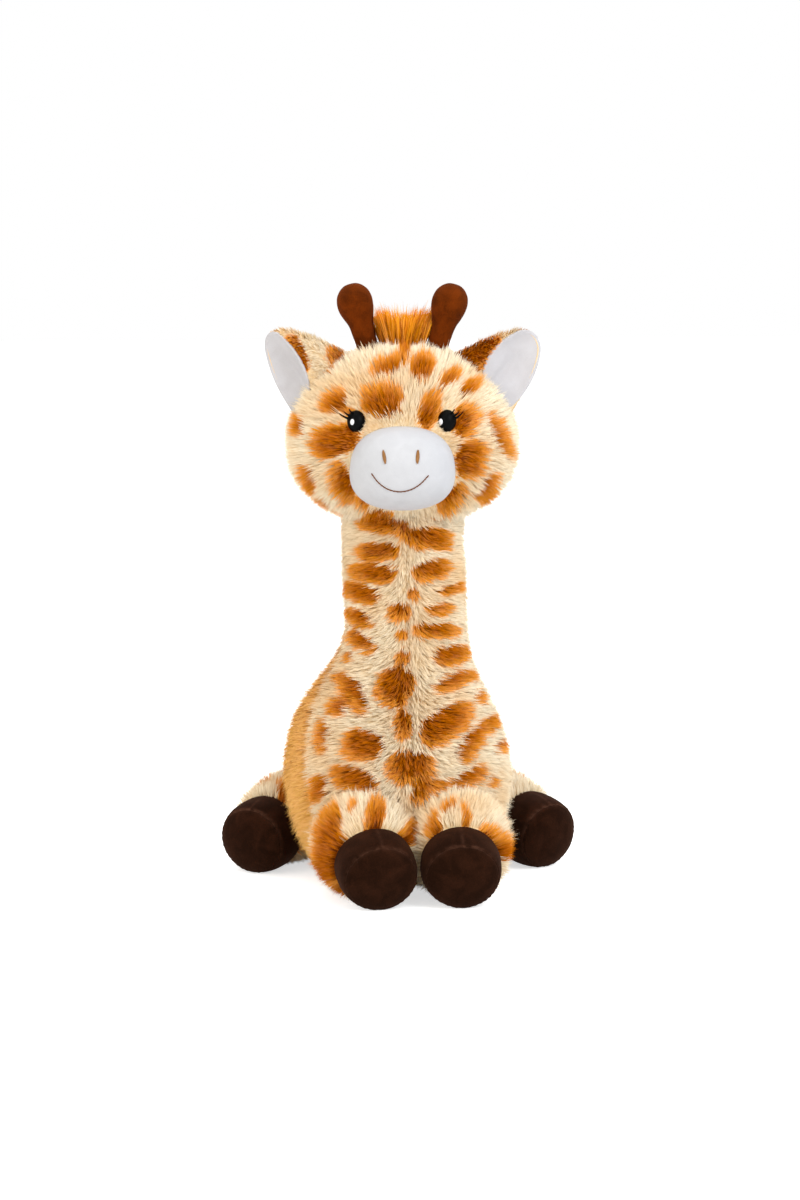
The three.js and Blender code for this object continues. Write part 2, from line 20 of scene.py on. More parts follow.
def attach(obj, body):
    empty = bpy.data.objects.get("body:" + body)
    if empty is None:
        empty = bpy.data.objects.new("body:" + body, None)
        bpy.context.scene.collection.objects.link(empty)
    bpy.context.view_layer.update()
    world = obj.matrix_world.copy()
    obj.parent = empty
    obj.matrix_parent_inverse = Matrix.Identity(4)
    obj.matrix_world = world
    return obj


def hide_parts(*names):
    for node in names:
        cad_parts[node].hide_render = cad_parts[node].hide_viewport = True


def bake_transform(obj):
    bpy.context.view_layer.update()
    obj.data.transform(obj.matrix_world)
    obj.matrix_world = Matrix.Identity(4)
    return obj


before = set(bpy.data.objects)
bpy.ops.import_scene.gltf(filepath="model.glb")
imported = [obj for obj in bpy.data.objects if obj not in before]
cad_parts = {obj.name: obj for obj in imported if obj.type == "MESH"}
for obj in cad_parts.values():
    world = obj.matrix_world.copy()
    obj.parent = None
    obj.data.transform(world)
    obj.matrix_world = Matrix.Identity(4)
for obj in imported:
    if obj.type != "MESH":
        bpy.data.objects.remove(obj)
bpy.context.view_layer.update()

Points = np.ndarray
Pair = tuple[float, float]
Triple = tuple[float, float, float]
Faces = list[tuple[int, ...]]
Mesh = tuple[Points, Faces]
Piece = bpy.types.Object
Socket = bpy.types.NodeSocket
Cover = Callable[[Points, Points, Points], Points]

METRES = 0.001
TINY = 1e-9
UP = np.array([0.0, 0.0, 1.0])
WHITE = (1.0, 1.0, 1.0, 1.0)
OUTSIDE = -9.0
FIRST_WIDTH = 3
POLE_WIDTH = 0.01
LOG = logging.getLogger("giraffe")


# Vectors, smooth tables and noise

def unit(vectors: Points) -> Points:
    """Returns the vectors at length 1."""
    return vectors / np.maximum(np.linalg.norm(vectors, axis=-1, keepdims=True), TINY)


def dot(a: Points, b: Points) -> Points:
    """Returns the dot product of each pair of rows."""
    return np.einsum("...i,...i->...", a, b)


def ramp(values: Points, low: float, high: float) -> Points:
    """Returns a smooth rise from 0 at low to 1 at high.

    Args:
        values: The values to read.
        low: Where the rise starts.
        high: Where it ends.

    Returns:
        A share from 0 to 1 for each value.
    """
    share = np.clip((values - low) / (high - low), 0.0, 1.0)
    return share * share * (3.0 - 2.0 * share)


def soft_noise(points: Points, size: float, seed: int) -> Points:
    """Returns smooth noise in space.

    Args:
        points: Places, one row each.
        size: Distance between the noise's own grid points.
        seed: Which noise it is.

    Returns:
        A value from -1 to 1 for each place.
    """
    scaled = points / size
    low = np.floor(scaled).astype(np.int64)
    share = scaled - low
    share = share * share * (3.0 - 2.0 * share)
    total = np.zeros(len(points))
    for corner in product((0, 1), repeat=3):
        cell = low + np.array(corner)
        mixed = cell[:, 0] * 73856093 ^ cell[:, 1] * 19349663 ^ cell[:, 2] * 83492791 ^ seed * 2654435
        mixed = (mixed ^ (mixed >> 13)) * 1274126177
        value = ((mixed ^ (mixed >> 16)) & 0xFFFF) / 32767.5 - 1.0
        weight = np.prod(np.where(np.array(corner) == 1, share, 1.0 - share), axis=1)
        total += value * weight
    return total


def noise_shifts(points: Points, size: float, seed: int) -> Points:
    """Returns a smooth small move from -1 to 1 along each axis, for each place."""
    return np.stack([soft_noise(points, size, seed + k) for k in range(3)], axis=1)


def smooth_rows(rows: Points, count: int, round_start: bool, round_end: bool) -> Points:
    """Runs a smooth curve through the rows of a table.

    Args:
        rows: The table.
        count: How many rows to return.
        round_start: True where the first row is a pole that the form closes roundly over.
        round_end: The same for the last row.

    Returns:
        The finer table.
    """
    table = np.array(rows, float)
    mirror = np.ones(table.shape[1])
    mirror[FIRST_WIDTH:] = -1.0
    padded = table
    if round_start:
        padded = np.vstack([table[1] * mirror, padded])
    if round_end:
        padded = np.vstack([padded, table[-2] * mirror])
    steps = np.linalg.norm(np.diff(padded, axis=0), axis=1)
    at = np.concatenate([[0.0], np.cumsum(steps)])
    slopes = np.gradient(padded, at, axis=0)
    start = 1 if round_start else 0
    end = len(at) - (2 if round_end else 1)
    where = np.linspace(at[start], at[end], count)
    i = np.clip(np.searchsorted(at, where, side="right") - 1, start, end - 1)
    span = (at[i + 1] - at[i])[:, None]
    t = (where - at[i])[:, None] / span
    low, high = padded[i], padded[i + 1]
    return (
        (2 * t**3 - 3 * t**2 + 1) * low
        + (t**3 - 2 * t**2 + t) * span * slopes[i]
        + (3 * t**2 - 2 * t**3) * high
        + (t**3 - t**2) * span * slopes[i + 1]
    )


# The photograph's view

@dataclass(frozen=True)
class PhotoView:
    """The photograph's camera: where it stands and how a place falls on the picture."""

    azimuth: float = -6.0
    elevation: float = 8.0
    distance: float = 2200.0
    target: Triple = (0.0, 0.0, 195.0)
    target_pixel: Pair = (400.5, 588.6)
    mm_per_pixel: float = 0.674
    picture: tuple[int, int] = (800, 1200)
    sensor: float = 36.0

    def axes(self) -> tuple[Points, Points, Points]:
        """Returns the camera's right, up and backward directions."""
        turn, rise = math.radians(self.azimuth), math.radians(self.elevation)
        level = math.cos(rise)
        back = np.array([math.sin(turn) * level, -math.cos(turn) * level, math.sin(rise)])
        right = np.array([math.cos(turn), math.sin(turn), 0.0])
        return right, np.cross(back, right), back

    def eye(self) -> Points:
        """Returns the camera's place, moved in its own plane so that the target falls on its pixel."""
        right, up, back = self.axes()
        across = (self.picture[0] / 2 - self.target_pixel[0]) * self.mm_per_pixel
        along = (self.target_pixel[1] - self.picture[1] / 2) * self.mm_per_pixel
        return np.array(self.target) + back * self.distance + right * across + up * along

    def pixels(self, points: Points) -> Points:
        """Returns the pixel that each point falls on."""
        right, up, back = self.axes()
        away = points - self.eye()
        scale = self.distance / self.mm_per_pixel / -dot(away, back)
        x = self.picture[0] / 2 + dot(away, right) * scale
        y = self.picture[1] / 2 - dot(away, up) * scale
        return np.stack([x, y], axis=-1)

    def ray(self, x: float, y: float) -> Points:
        """Returns the direction from the camera through a pixel."""
        right, up, back = self.axes()
        across = (x - self.picture[0] / 2) * self.mm_per_pixel / self.distance
        along = (self.picture[1] / 2 - y) * self.mm_per_pixel / self.distance
        return unit(right * across + up * along - back)

    def facing(self, normals: Points) -> Points:
        """Returns how squarely each normal faces the camera, from -1 to 1."""
        return dot(normals, self.axes()[2])

    def make_camera(self) -> None:
        """Makes the scene's camera."""
        right, up, back = self.axes()
        data = bpy.data.cameras.new("photo_view")
        data.sensor_width = self.sensor
        data.lens = self.sensor * self.distance / self.mm_per_pixel / max(self.picture)
        data.clip_start, data.clip_end = 0.1, 50.0
        camera = bpy.data.objects.new("photo_view", data)
        turn = Matrix([[right[i], up[i], back[i]] for i in range(3)]).to_4x4()
        camera.matrix_world = Matrix.Translation(Vector(self.eye() * METRES)) @ turn
        bpy.context.scene.collection.objects.link(camera)
        bpy.context.scene.camera = camera


VIEW = PhotoView()


# Meshes

def linear(code: str) -> tuple[float, ...]:
    """Returns a colour written as six hex digits as Blender's linear colour."""
    parts = [int(code[i : i + 2], 16) / 255 for i in (0, 2, 4)]
    straight = [c / 12.92 if c <= 0.04045 else ((c + 0.055) / 1.055) ** 2.4 for c in parts]
    return (*straight, 1.0)


def make_object(name: str, points: Points, faces: Faces) -> Piece:
    """Makes a smooth mesh object from points in millimetres.

    Args:
        name: The object's name.
        points: Its vertices.
        faces: Its faces, as vertex numbers.

    Returns:
        The object, linked to the scene.
    """
    mesh = bpy.data.meshes.new(name)
    mesh.from_pydata((np.asarray(points) * METRES).tolist(), [], faces)
    mesh.shade_smooth()
    made = bpy.data.objects.new(name, mesh)
    bpy.context.scene.collection.objects.link(made)
    return made


def vertex_places(piece: Piece) -> Points:
    """Returns an object's vertices in millimetres."""
    flat = np.empty(len(piece.data.vertices) * 3)
    piece.data.vertices.foreach_get("co", flat)
    return flat.reshape(-1, 3) / METRES


def set_places(piece: Piece, points: Points) -> None:
    """Moves an object's vertices to new places in millimetres."""
    piece.data.vertices.foreach_set("co", (points * METRES).ravel())
    piece.data.update()


def vertex_normals(piece: Piece) -> Points:
    """Returns an object's vertex normals."""
    flat = np.empty(len(piece.data.vertices) * 3)
    piece.data.vertex_normals.foreach_get("vector", flat)
    return flat.reshape(-1, 3)


def store(piece: Piece, name: str, values: Points) -> None:
    """Keeps one number for each vertex under a name that materials read."""
    attribute = piece.data.attributes.new(name, "FLOAT", "POINT")
    attribute.data.foreach_set("value", np.asarray(values, np.float32))


def applied(piece: Piece) -> Piece:
    """Applies all modifiers of a piece."""
    graph = bpy.context.evaluated_depsgraph_get()
    mesh = bpy.data.meshes.new_from_object(piece.evaluated_get(graph))
    old = piece.data
    piece.modifiers.clear()
    piece.data = mesh
    mesh.name = piece.name
    bpy.data.meshes.remove(old)
    return piece


def tree_of(piece: Piece) -> BVHTree:
    """Returns a search tree over a piece's faces, in millimetres."""
    polygons = [tuple(p.vertices) for p in piece.data.polygons]
    return BVHTree.FromPolygons(vertex_places(piece).tolist(), polygons)


def depth_in(points: Points, tree: BVHTree, reach: float) -> Points:
    """Returns how deep points lie under a surface.

    Args:
        points: The places to test.
        tree: The surface.
        reach: How far from the surface to look.

    Returns:
        Millimetres below the surface, negative above it; a point out of reach counts as far outside.
    """
    depths = np.full(len(points), -reach)
    for i, point in enumerate(points.tolist()):
        place, normal, _, _ = tree.find_nearest(point, reach)
        if place is not None:
            depths[i] = (place - Vector(point)).dot(normal)
    return depths


def ring_form(rows: Points, sides: int, power: float = 2.0) -> Mesh:
    """Makes a closed form from rings across its own z.

    Args:
        rows: Height, centre x and y, then half widths toward -x, +x, -y and +y.
        sides: Corners of each ring.
        power: 2 for ellipses, more for squarer rings.

    Returns:
        Its points and its faces, turned outward.
    """
    angles = np.linspace(0.0, 2 * math.pi, sides, endpoint=False)
    cos, sin = np.cos(angles), np.sin(angles)
    cos = np.sign(cos) * np.abs(cos) ** (2 / power)
    sin = np.sign(sin) * np.abs(sin) ** (2 / power)
    start = 1 if rows[0, FIRST_WIDTH] < POLE_WIDTH else 0
    end = len(rows) - (1 if rows[-1, FIRST_WIDTH] < POLE_WIDTH else 0)
    points = []
    for z, x, y, west, east, front, rear in rows[start:end]:
        wide = np.where(cos < 0, west, east)
        deep = np.where(sin < 0, front, rear)
        points.append(np.stack([x + wide * cos, y + deep * sin, np.full(sides, z)], axis=1))
    count = end - start
    points.append(rows[[0, -1]][:, [1, 2, 0]])
    faces: Faces = []
    low_pole, high_pole = count * sides, count * sides + 1
    for k in range(sides):
        after = (k + 1) % sides
        faces.append((low_pole, after, k))
        faces.append((high_pole, (count - 1) * sides + k, (count - 1) * sides + after))
        for i in range(count - 1):
            low, high = i * sides, (i + 1) * sides
            faces.append((low + k, low + after, high + after, high + k))
    return np.vstack(points), faces


def spun_rows(profile: Sequence[Pair]) -> Points:
    """Returns ring rows of a round form from heights and radii."""
    return np.array([[z, 0.0, 0.0, r, r, r, r] for z, r in profile])


def globe(halves: Sequence[float], rings: int, sides: int, power: float = 2.0) -> Mesh:
    """Makes a closed ellipsoid, squarer where power is over 2, around the origin."""
    angles = np.linspace(-math.pi / 2, math.pi / 2, rings)
    rows = []
    for angle in angles:
        out = abs(math.cos(angle)) ** (2 / power)
        up = math.copysign(abs(math.sin(angle)) ** (2 / power), angle)
        wide, deep = halves[0] * out, halves[1] * out
        rows.append([halves[2] * up, 0.0, 0.0, wide, wide, deep, deep])
    return ring_form(np.array(rows), sides, power)


def moved(points: Points, matrix: Matrix) -> Points:
    """Returns points taken through a matrix in millimetres."""
    table = np.array(matrix)
    return points @ table[:3, :3].T + table[:3, 3]


def above(points: Points, floor: float) -> Points:
    """Returns points raised to a floor's height where they are lower."""
    return np.maximum(points, [-math.inf, -math.inf, floor])


def tube(path: Points, radii: Points, sides: int = 6) -> Mesh:
    """Makes a closed round tube along a path.

    Args:
        path: Its middle line.
        radii: Its radius at each point of the line.
        sides: Corners of each ring.

    Returns:
        Its points and faces.
    """
    ahead = unit(np.gradient(path, axis=0))
    helper = np.array([0.0, 1.0, 0.0]) if abs(ahead[0, 1]) < 0.8 else np.array([1.0, 0.0, 0.0])
    across = unit(np.cross(ahead, helper))
    over = np.cross(ahead, across)
    angles = np.linspace(0.0, 2 * math.pi, sides, endpoint=False)
    points = [
        path[i] + radii[i] * (np.cos(angles)[:, None] * across[i] + np.sin(angles)[:, None] * over[i])
        for i in range(len(path))
    ]
    faces: Faces = []
    for i in range(len(path) - 1):
        for k in range(sides):
            after = (k + 1) % sides
            faces.append((i * sides + k, i * sides + after, (i + 1) * sides + after, (i + 1) * sides + k))
    faces.append(tuple(reversed(range(sides))))
    faces.append(tuple((len(path) - 1) * sides + k for k in range(sides)))
    return np.vstack(points), faces


def joined(parts: Iterable[Mesh]) -> Mesh:
    """Returns several meshes as one list of points and faces."""
    places, faces, shift = [], [], 0
    for points, part_faces in parts:
        places.append(points)
        faces += [tuple(v + shift for v in face) for face in part_faces]
        shift += len(points)
    return np.vstack(places), faces


# Stuffing

@dataclass(frozen=True)
class Stuffing:
    """How a sewn cover fills out, simulated as cloth that its seams hold; lengths in millimetres."""

    cell: float = 5.0
    cap: float = 1.8
    pressure: float = 20.0
    mass: float = 0.02
    stiffness: float = 0.1
    frames: int = 20
    slack: float = 1.0
    neighbours: int = 6

    def fill(self, cover: Piece, seams: Callable[[Points], Points]) -> None:
        """Blows a cover up between its seams, and leaves it at its own mean size.

        Args:
            cover: The cover, changed in place.
            seams: Returns how firmly the seams hold each place, from 0 to 1.
        """
        scene = bpy.context.scene
        copy = bpy.data.objects.new("filling", cover.data.copy())
        scene.collection.objects.link(copy)
        cells = copy.modifiers.new("cells", "REMESH")
        cells.mode, cells.voxel_size = "VOXEL", self.cell * METRES
        applied(copy)
        start = vertex_places(copy)
        set_places(copy, start - self.slack * vertex_normals(copy))
        hold = copy.vertex_groups.new(name="seams")
        for number, weight in enumerate(seams(start)):
            hold.add([number], float(weight), "REPLACE")
        cloth = copy.modifiers.new("cloth", "CLOTH")
        settings = cloth.settings
        settings.mass = self.mass
        settings.tension_stiffness = self.stiffness
        settings.compression_stiffness = self.stiffness
        settings.shear_stiffness = self.stiffness
        settings.use_pressure = True
        settings.uniform_pressure_force = self.pressure
        settings.effector_weights.gravity = 0.0
        settings.vertex_group_mass = hold.name
        cloth.collision_settings.use_collision = False
        cloth.point_cache.frame_start, cloth.point_cache.frame_end = 1, self.frames
        for number in range(1, self.frames + 1):
            scene.frame_set(number)
        shift = vertex_places(applied(copy)) - start
        self.settle(cover, start, shift)
        bpy.data.objects.remove(copy)
        scene.frame_set(1)

    def settle(self, cover: Piece, start: Points, shift: Points) -> None:
        """Moves a cover's vertices as the cloth near them moved, up to the cap.

        Args:
            cover: The cover.
            start: Where the cloth's vertices were.
            shift: How far they moved.
        """
        near = KDTree(len(start))
        for number, point in enumerate(start.tolist()):
            near.insert(point, number)
        near.balance()
        points, normals = vertex_places(cover), vertex_normals(cover)
        out = np.empty(len(points))
        for i, point in enumerate(points.tolist()):
            found = near.find_n(point, self.neighbours)
            weights = np.array([1.0 / (distance + 0.5) for _, _, distance in found])
            chosen = shift[[number for _, number, _ in found]]
            out[i] = (weights @ (chosen @ normals[i])) / weights.sum()
        LOG.info("%s filled: %.2f to %.2f mm", cover.name, out.min(), out.max())
        out = np.clip(out - out.mean(), -self.cap, self.cap)
        set_places(cover, points + normals * out[:, None])


# Pile

@dataclass(frozen=True)
class Roots:
    """Where fibres leave a cloth, and the cloth's normal there."""

    points: Points
    normals: Points

    def only(self, keep: Points) -> "Roots":
        """Returns the roots that a mask keeps."""
        return Roots(self.points[keep], self.normals[keep])


@dataclass(frozen=True)
class Pile:
    """How a cloth's pile grows: lengths in millimetres, angles in degrees above the cloth."""

    length: float = 9.5
    spread: float = 0.22
    rise: float = 72.0
    lay: float = 34.0
    width: float = 0.5
    density: float = 1.9
    lock: float = 2.0
    gather: float = 0.3
    tangle: float = 9.0
    strays: float = 0.1
    stray_lift: float = 32.0
    stray_growth: float = 0.12
    twist: float = 0.55
    steps: int = 2


def roots_on(piece: Piece, density: float, seed: int) -> Roots:
    """Scatters roots evenly over a piece's faces.

    Args:
        piece: The cloth.
        density: Roots on a square millimetre.
        seed: Which scatter it is.

    Returns:
        The roots.
    """
    mesh = piece.data
    mesh.calc_loop_triangles()
    corners = np.empty(len(mesh.loop_triangles) * 3, np.int32)
    mesh.loop_triangles.foreach_get("vertices", corners)
    corners = corners.reshape(-1, 3)
    places, normals = vertex_places(piece), vertex_normals(piece)
    a, b, c = (places[corners[:, k]] for k in range(3))
    areas = np.linalg.norm(np.cross(b - a, c - a), axis=1) / 2
    rng = np.random.default_rng(seed)
    count = int(areas.sum() * density)
    face = np.searchsorted(np.cumsum(areas), rng.uniform(0, areas.sum(), count))
    face = np.minimum(face, len(areas) - 1)
    u, v = rng.uniform(size=(2, count))
    over = u + v > 1
    u[over], v[over] = 1 - u[over], 1 - v[over]
    shares = np.stack([1 - u - v, u, v], axis=1)
    chosen = corners[face]
    at = sum(places[chosen[:, k]] * shares[:, k : k + 1] for k in range(3))
    up = unit(sum(normals[chosen[:, k]] * shares[:, k : k + 1] for k in range(3)))
    return Roots(at, up)


def lock_numbers(points: Points, size: float, seed: int) -> Points:
    """Returns the number of the lock that each root belongs to."""
    shift = noise_shifts(points, size * 1.4, seed)
    cells = np.floor((points + shift * size * 0.8) / size).astype(np.int64)
    keys = cells @ np.array([1, 4001, 16008001])
    return np.unique(keys, return_inverse=True)[1]


def grow(
    name: str,
    roots: Roots,
    nap: Points,
    pile: Pile,
    cover: Cover | None,
    seed: int,
    length: Points | None = None,
) -> Piece:
    """Grows fibres as thin tapering blades, drawn together in locks.

    Args:
        name: The new object's name.
        roots: Where the fibres start.
        nap: The way they lean, for each root.
        pile: Their sizes.
        cover: The coat's share of the spot colour at places with normals and naps; none for a plain one.
        seed: Which growth it is.
        length: A factor on the length at each root.

    Returns:
        The fibres as one mesh object.
    """
    rng = np.random.default_rng(seed)
    count, steps = len(roots.points), pile.steps
    normals = roots.normals
    lean = unit(nap - dot(nap, normals)[:, None] * normals)
    side = np.cross(normals, lean)
    lock = lock_numbers(roots.points, pile.lock, seed)
    locks = int(lock.max()) + 1
    tangle = math.radians(pile.tangle)
    turn = tangle * (0.9 * rng.normal(size=count) + 0.9 * rng.normal(size=locks)[lock])
    heading = lean * np.cos(turn)[:, None] + side * np.sin(turn)[:, None]
    lifted = 0.6 * rng.normal(size=count) + 0.7 * rng.normal(size=locks)[lock]
    stray = rng.uniform(size=count) < pile.strays
    tip_lift = np.radians(pile.lay) + tangle * lifted + np.radians(pile.stray_lift) * stray
    full = pile.length * (1 + pile.stray_growth * stray) * (1 + pile.spread * rng.uniform(-1, 1, count))
    full = full * (1 + 0.1 * rng.normal(size=locks)[lock])
    if length is None:
        length = np.ones(count)
    full = full * length
    places = [roots.points - normals * 0.5]
    for j in range(steps):
        share = ((j + 0.5) / steps) ** 0.8
        lift = math.radians(pile.rise) * (1 - share) + tip_lift * share
        step = normals * np.sin(lift)[:, None] + heading * np.cos(lift)[:, None]
        places.append(places[-1] + step * (full / steps)[:, None])
    members = np.maximum(np.bincount(lock, minlength=locks), 1)
    for j in range(1, steps + 1):
        middle = np.stack([np.bincount(lock, places[j][:, k], locks) / members for k in range(3)], axis=1)
        pull = pile.gather * (j / steps) ** 1.4
        places[j] = places[j] + pull * (middle[lock] - places[j])
        places[j][:, 2] = np.maximum(places[j][:, 2], 0.3)
    along = unit(places[-1] - places[0])
    flat = unit(np.cross(along, normals))
    roll = pile.twist * rng.normal(size=count)[:, None]
    flat = flat * np.cos(roll) + np.cross(along, flat) * np.sin(roll)
    face = np.cross(flat, along)
    flat = flat * np.where(dot(face, normals) < 0, -1.0, 1.0)[:, None]
    face = np.cross(flat, along)
    corners = 2 * steps + 1
    vertices = np.empty((count, corners, 3))
    shading = np.empty((count, corners, 3))
    share_along = np.empty((count, corners))
    upright = normals * 0.5
    front = face * 0.8
    for j in range(steps):
        half = flat * (pile.width * (1.0 - 0.75 * (j / steps) ** 1.5) / 2)
        vertices[:, 2 * j], vertices[:, 2 * j + 1] = places[j] - half, places[j] + half
        blend = unit(upright + along * (0.1 + 0.2 * j / steps) + front)
        shading[:, 2 * j] = shading[:, 2 * j + 1] = blend
        share_along[:, 2 * j : 2 * j + 2] = j / steps
    vertices[:, -1] = places[-1]
    shading[:, -1] = unit(upright + along * 0.35 + front)
    share_along[:, -1] = 1.0
    shade = np.clip(0.5 + 0.16 * rng.normal(size=count) + 0.14 * rng.normal(size=locks)[lock], 0, 1)
    reach = 0.45 * pile.length * length
    mean_lift = math.radians((pile.rise + pile.lay) / 2)
    seen = roots.points + reach[:, None] * (lean * math.cos(mean_lift) + normals * math.sin(mean_lift))
    streak = 0.8 * rng.normal(size=locks)[lock] + 0.6 * rng.normal(size=count)
    spot = cover(seen + streak[:, None] * lean, normals, lean) if cover else np.zeros(count)
    return blades(name, vertices, shading, share_along, spot, shade)


def blades(
    name: str, vertices: Points, shading: Points, along: Points, spot: Points, shade: Points
) -> Piece:
    """Makes one mesh of blades, each of paired corners and a tip.

    Args:
        name: The object's name.
        vertices: Places by blade and corner.
        shading: Shading normals by blade and corner.
        along: The share of the blade's length at each corner.
        spot: The share of the spot colour of each blade.
        shade: How light each blade is, around 0.5.

    Returns:
        The object, with a small area of the bake map for each blade.
    """
    count, corners, _ = vertices.shape
    steps = (corners - 1) // 2
    base = (np.arange(count) * corners)[:, None]
    quads = [base + np.array([2 * j, 2 * j + 1, 2 * j + 3, 2 * j + 2]) for j in range(steps - 1)]
    tips = base + np.array([2 * steps - 2, 2 * steps - 1, 2 * steps])
    loops = np.concatenate([q.ravel() for q in quads] + [tips.ravel()]).astype(np.int32)
    quad_count = count * (steps - 1)
    starts = np.concatenate([np.arange(quad_count) * 4, quad_count * 4 + np.arange(count) * 3])
    mesh = bpy.data.meshes.new(name)
    mesh.vertices.add(count * corners)
    mesh.vertices.foreach_set("co", (vertices * METRES).astype(np.float32).ravel())
    mesh.loops.add(len(loops))
    mesh.loops.foreach_set("vertex_index", loops)
    mesh.polygons.add(len(starts))
    mesh.polygons.foreach_set("loop_start", starts.astype(np.int32))
    mesh.update(calc_edges=True)
    mesh.shade_smooth()
    rank = np.empty(count, np.int64)
    rank[np.lexsort((shade, np.round(spot * 4)))] = np.arange(count)
    cells = int(math.ceil(math.sqrt(count)))
    across = np.append(np.tile([0.2, 0.8], steps), 0.5)
    u = ((rank % cells)[:, None] + across[None, :]) / cells
    v = ((rank // cells)[:, None] + 0.12 + 0.76 * along) / cells
    bake = mesh.uv_layers.new(name="OFBake")
    uv = np.stack([u.ravel()[loops], v.ravel()[loops]], axis=1)
    bake.data.foreach_set("uv", uv.astype(np.float32).ravel())
    made = bpy.data.objects.new(name, mesh)
    bpy.context.scene.collection.objects.link(made)
    store(made, "spot", np.repeat(spot, corners))
    store(made, "shade", np.repeat(shade, corners))
    store(made, "along", along.ravel())
    mesh.normals_split_custom_set_from_vertices(shading.reshape(-1, 3).tolist())
    return made


# Spots

@dataclass(frozen=True)
class Spot:
    """One spot of the coat as the photograph shows it, in its pixels; tilt is in degrees, up to the right."""

    x: float
    y: float
    half_length: float
    half_width: float
    tilt: float = 0.0


def spots(*rows: tuple[float, ...]) -> tuple[Spot, ...]:
    """Returns spots from rows of their numbers."""
    return tuple(Spot(*row) for row in rows)


HEAD_SPOTS = spots(
    (389, 366, 20, 8.5, 22), (422, 367, 13.5, 12.5, 80), (448.5, 378.5, 12, 7.5, 40), (469.5, 388, 12, 7, 42),
    (382, 400, 22, 15.5, 8), (430, 410, 18, 10.5, 72), (334, 401, 16, 10, 36), (346, 410, 10, 4, -10),
    (335, 440, 25, 16, 22), (466, 420, 18.5, 12.5, 80), (471, 459, 20, 15.5, 84), (500, 437, 25, 6.5, -66),
    (488, 486, 19, 7.5, 62), (451, 498, 18, 9, 44), (342, 484, 23, 11, 112), (309, 478, 16, 6.5, -66),
    (299, 425, 12, 6, 80), (341, 521, 15, 8, -50), (322, 505, 11, 6, -40), (330, 362, 14, 9, 60),
    (376, 517, 16, 6, 6), (405, 350, 9, 7, 90), (361, 503, 9, 6, -40),
)
CHEST_SPOTS = spots(
    (383, 524, 26, 10, -10), (405, 533, 12, 8, -20), (428, 539, 26, 12, -5), (437, 516.5, 10, 3.5, 0),
    (378, 552, 22, 10, 4), (374, 573, 25, 10.5, -6), (431.5, 570.5, 20, 11, 16), (361, 593, 20, 10.5, -22),
    (413.5, 594, 7, 7, 0), (451.5, 589, 13, 5.5, 20), (399, 612, 12, 8.5, 12), (440, 609, 13, 6, 6),
    (359.5, 618, 16, 8, -38), (402, 635.5, 7, 5.5, 0), (436, 631.5, 23.5, 8, 0), (361.5, 642, 16, 8.5, -40),
    (403.5, 658, 7.5, 7, 0), (450, 655, 18.5, 10.5, 12), (350, 657, 5, 5.5, 0), (353.5, 694, 25, 10.5, -57),
    (338, 708, 10, 9.5, -20), (395, 687, 20.5, 18.5, 60), (402.5, 726, 14.5, 8.5, 90),
    (446, 724, 30, 16.5, 38), (472.5, 741, 25.5, 9.5, 58), (454, 681.5, 22, 9, 26), (478, 698, 7.5, 5, 100),
    (491, 723, 8.5, 5, 90), (500, 747, 7, 5.5, 30), (322.5, 736, 18, 6, 84), (362.5, 745.5, 20, 15.5, -10),
    (410.5, 767, 24, 17.5, 0), (355, 780, 24, 12, -24), (470, 777, 20, 8.5, 34), (441, 786, 12, 5, 20),
    (491, 782, 5.5, 6, 0), (320, 788, 15, 9, 78), (423, 793, 18, 9, 30), (512, 788, 6, 7, 0),
)
LEG_SPOTS = spots(
    (374, 818, 20, 10, 84), (328, 846, 42, 14, 80), (324, 801, 18, 6, 30), (352, 808, 7, 4, 60),
    (409, 834, 15, 9, 60), (466, 815, 11, 4.5, 96), (489, 833, 12, 7, -45), (509, 850, 19, 11, -40),
    (434, 829, 17, 6.5, 78), (570, 788, 14, 8, -48), (286, 795, 15, 9, 100), (262, 781, 14, 5, 28),
    (298, 842, 10, 5, 90), (340, 884, 12, 9, 100), (448, 806, 9, 4, 30),
)
EAR_SPOTS = spots(
    (297, 354, 21, 8.5, -66), (338, 361, 18, 8, -66), (478, 353, 25, 16, 36), (462, 362, 12, 8, 20),
)


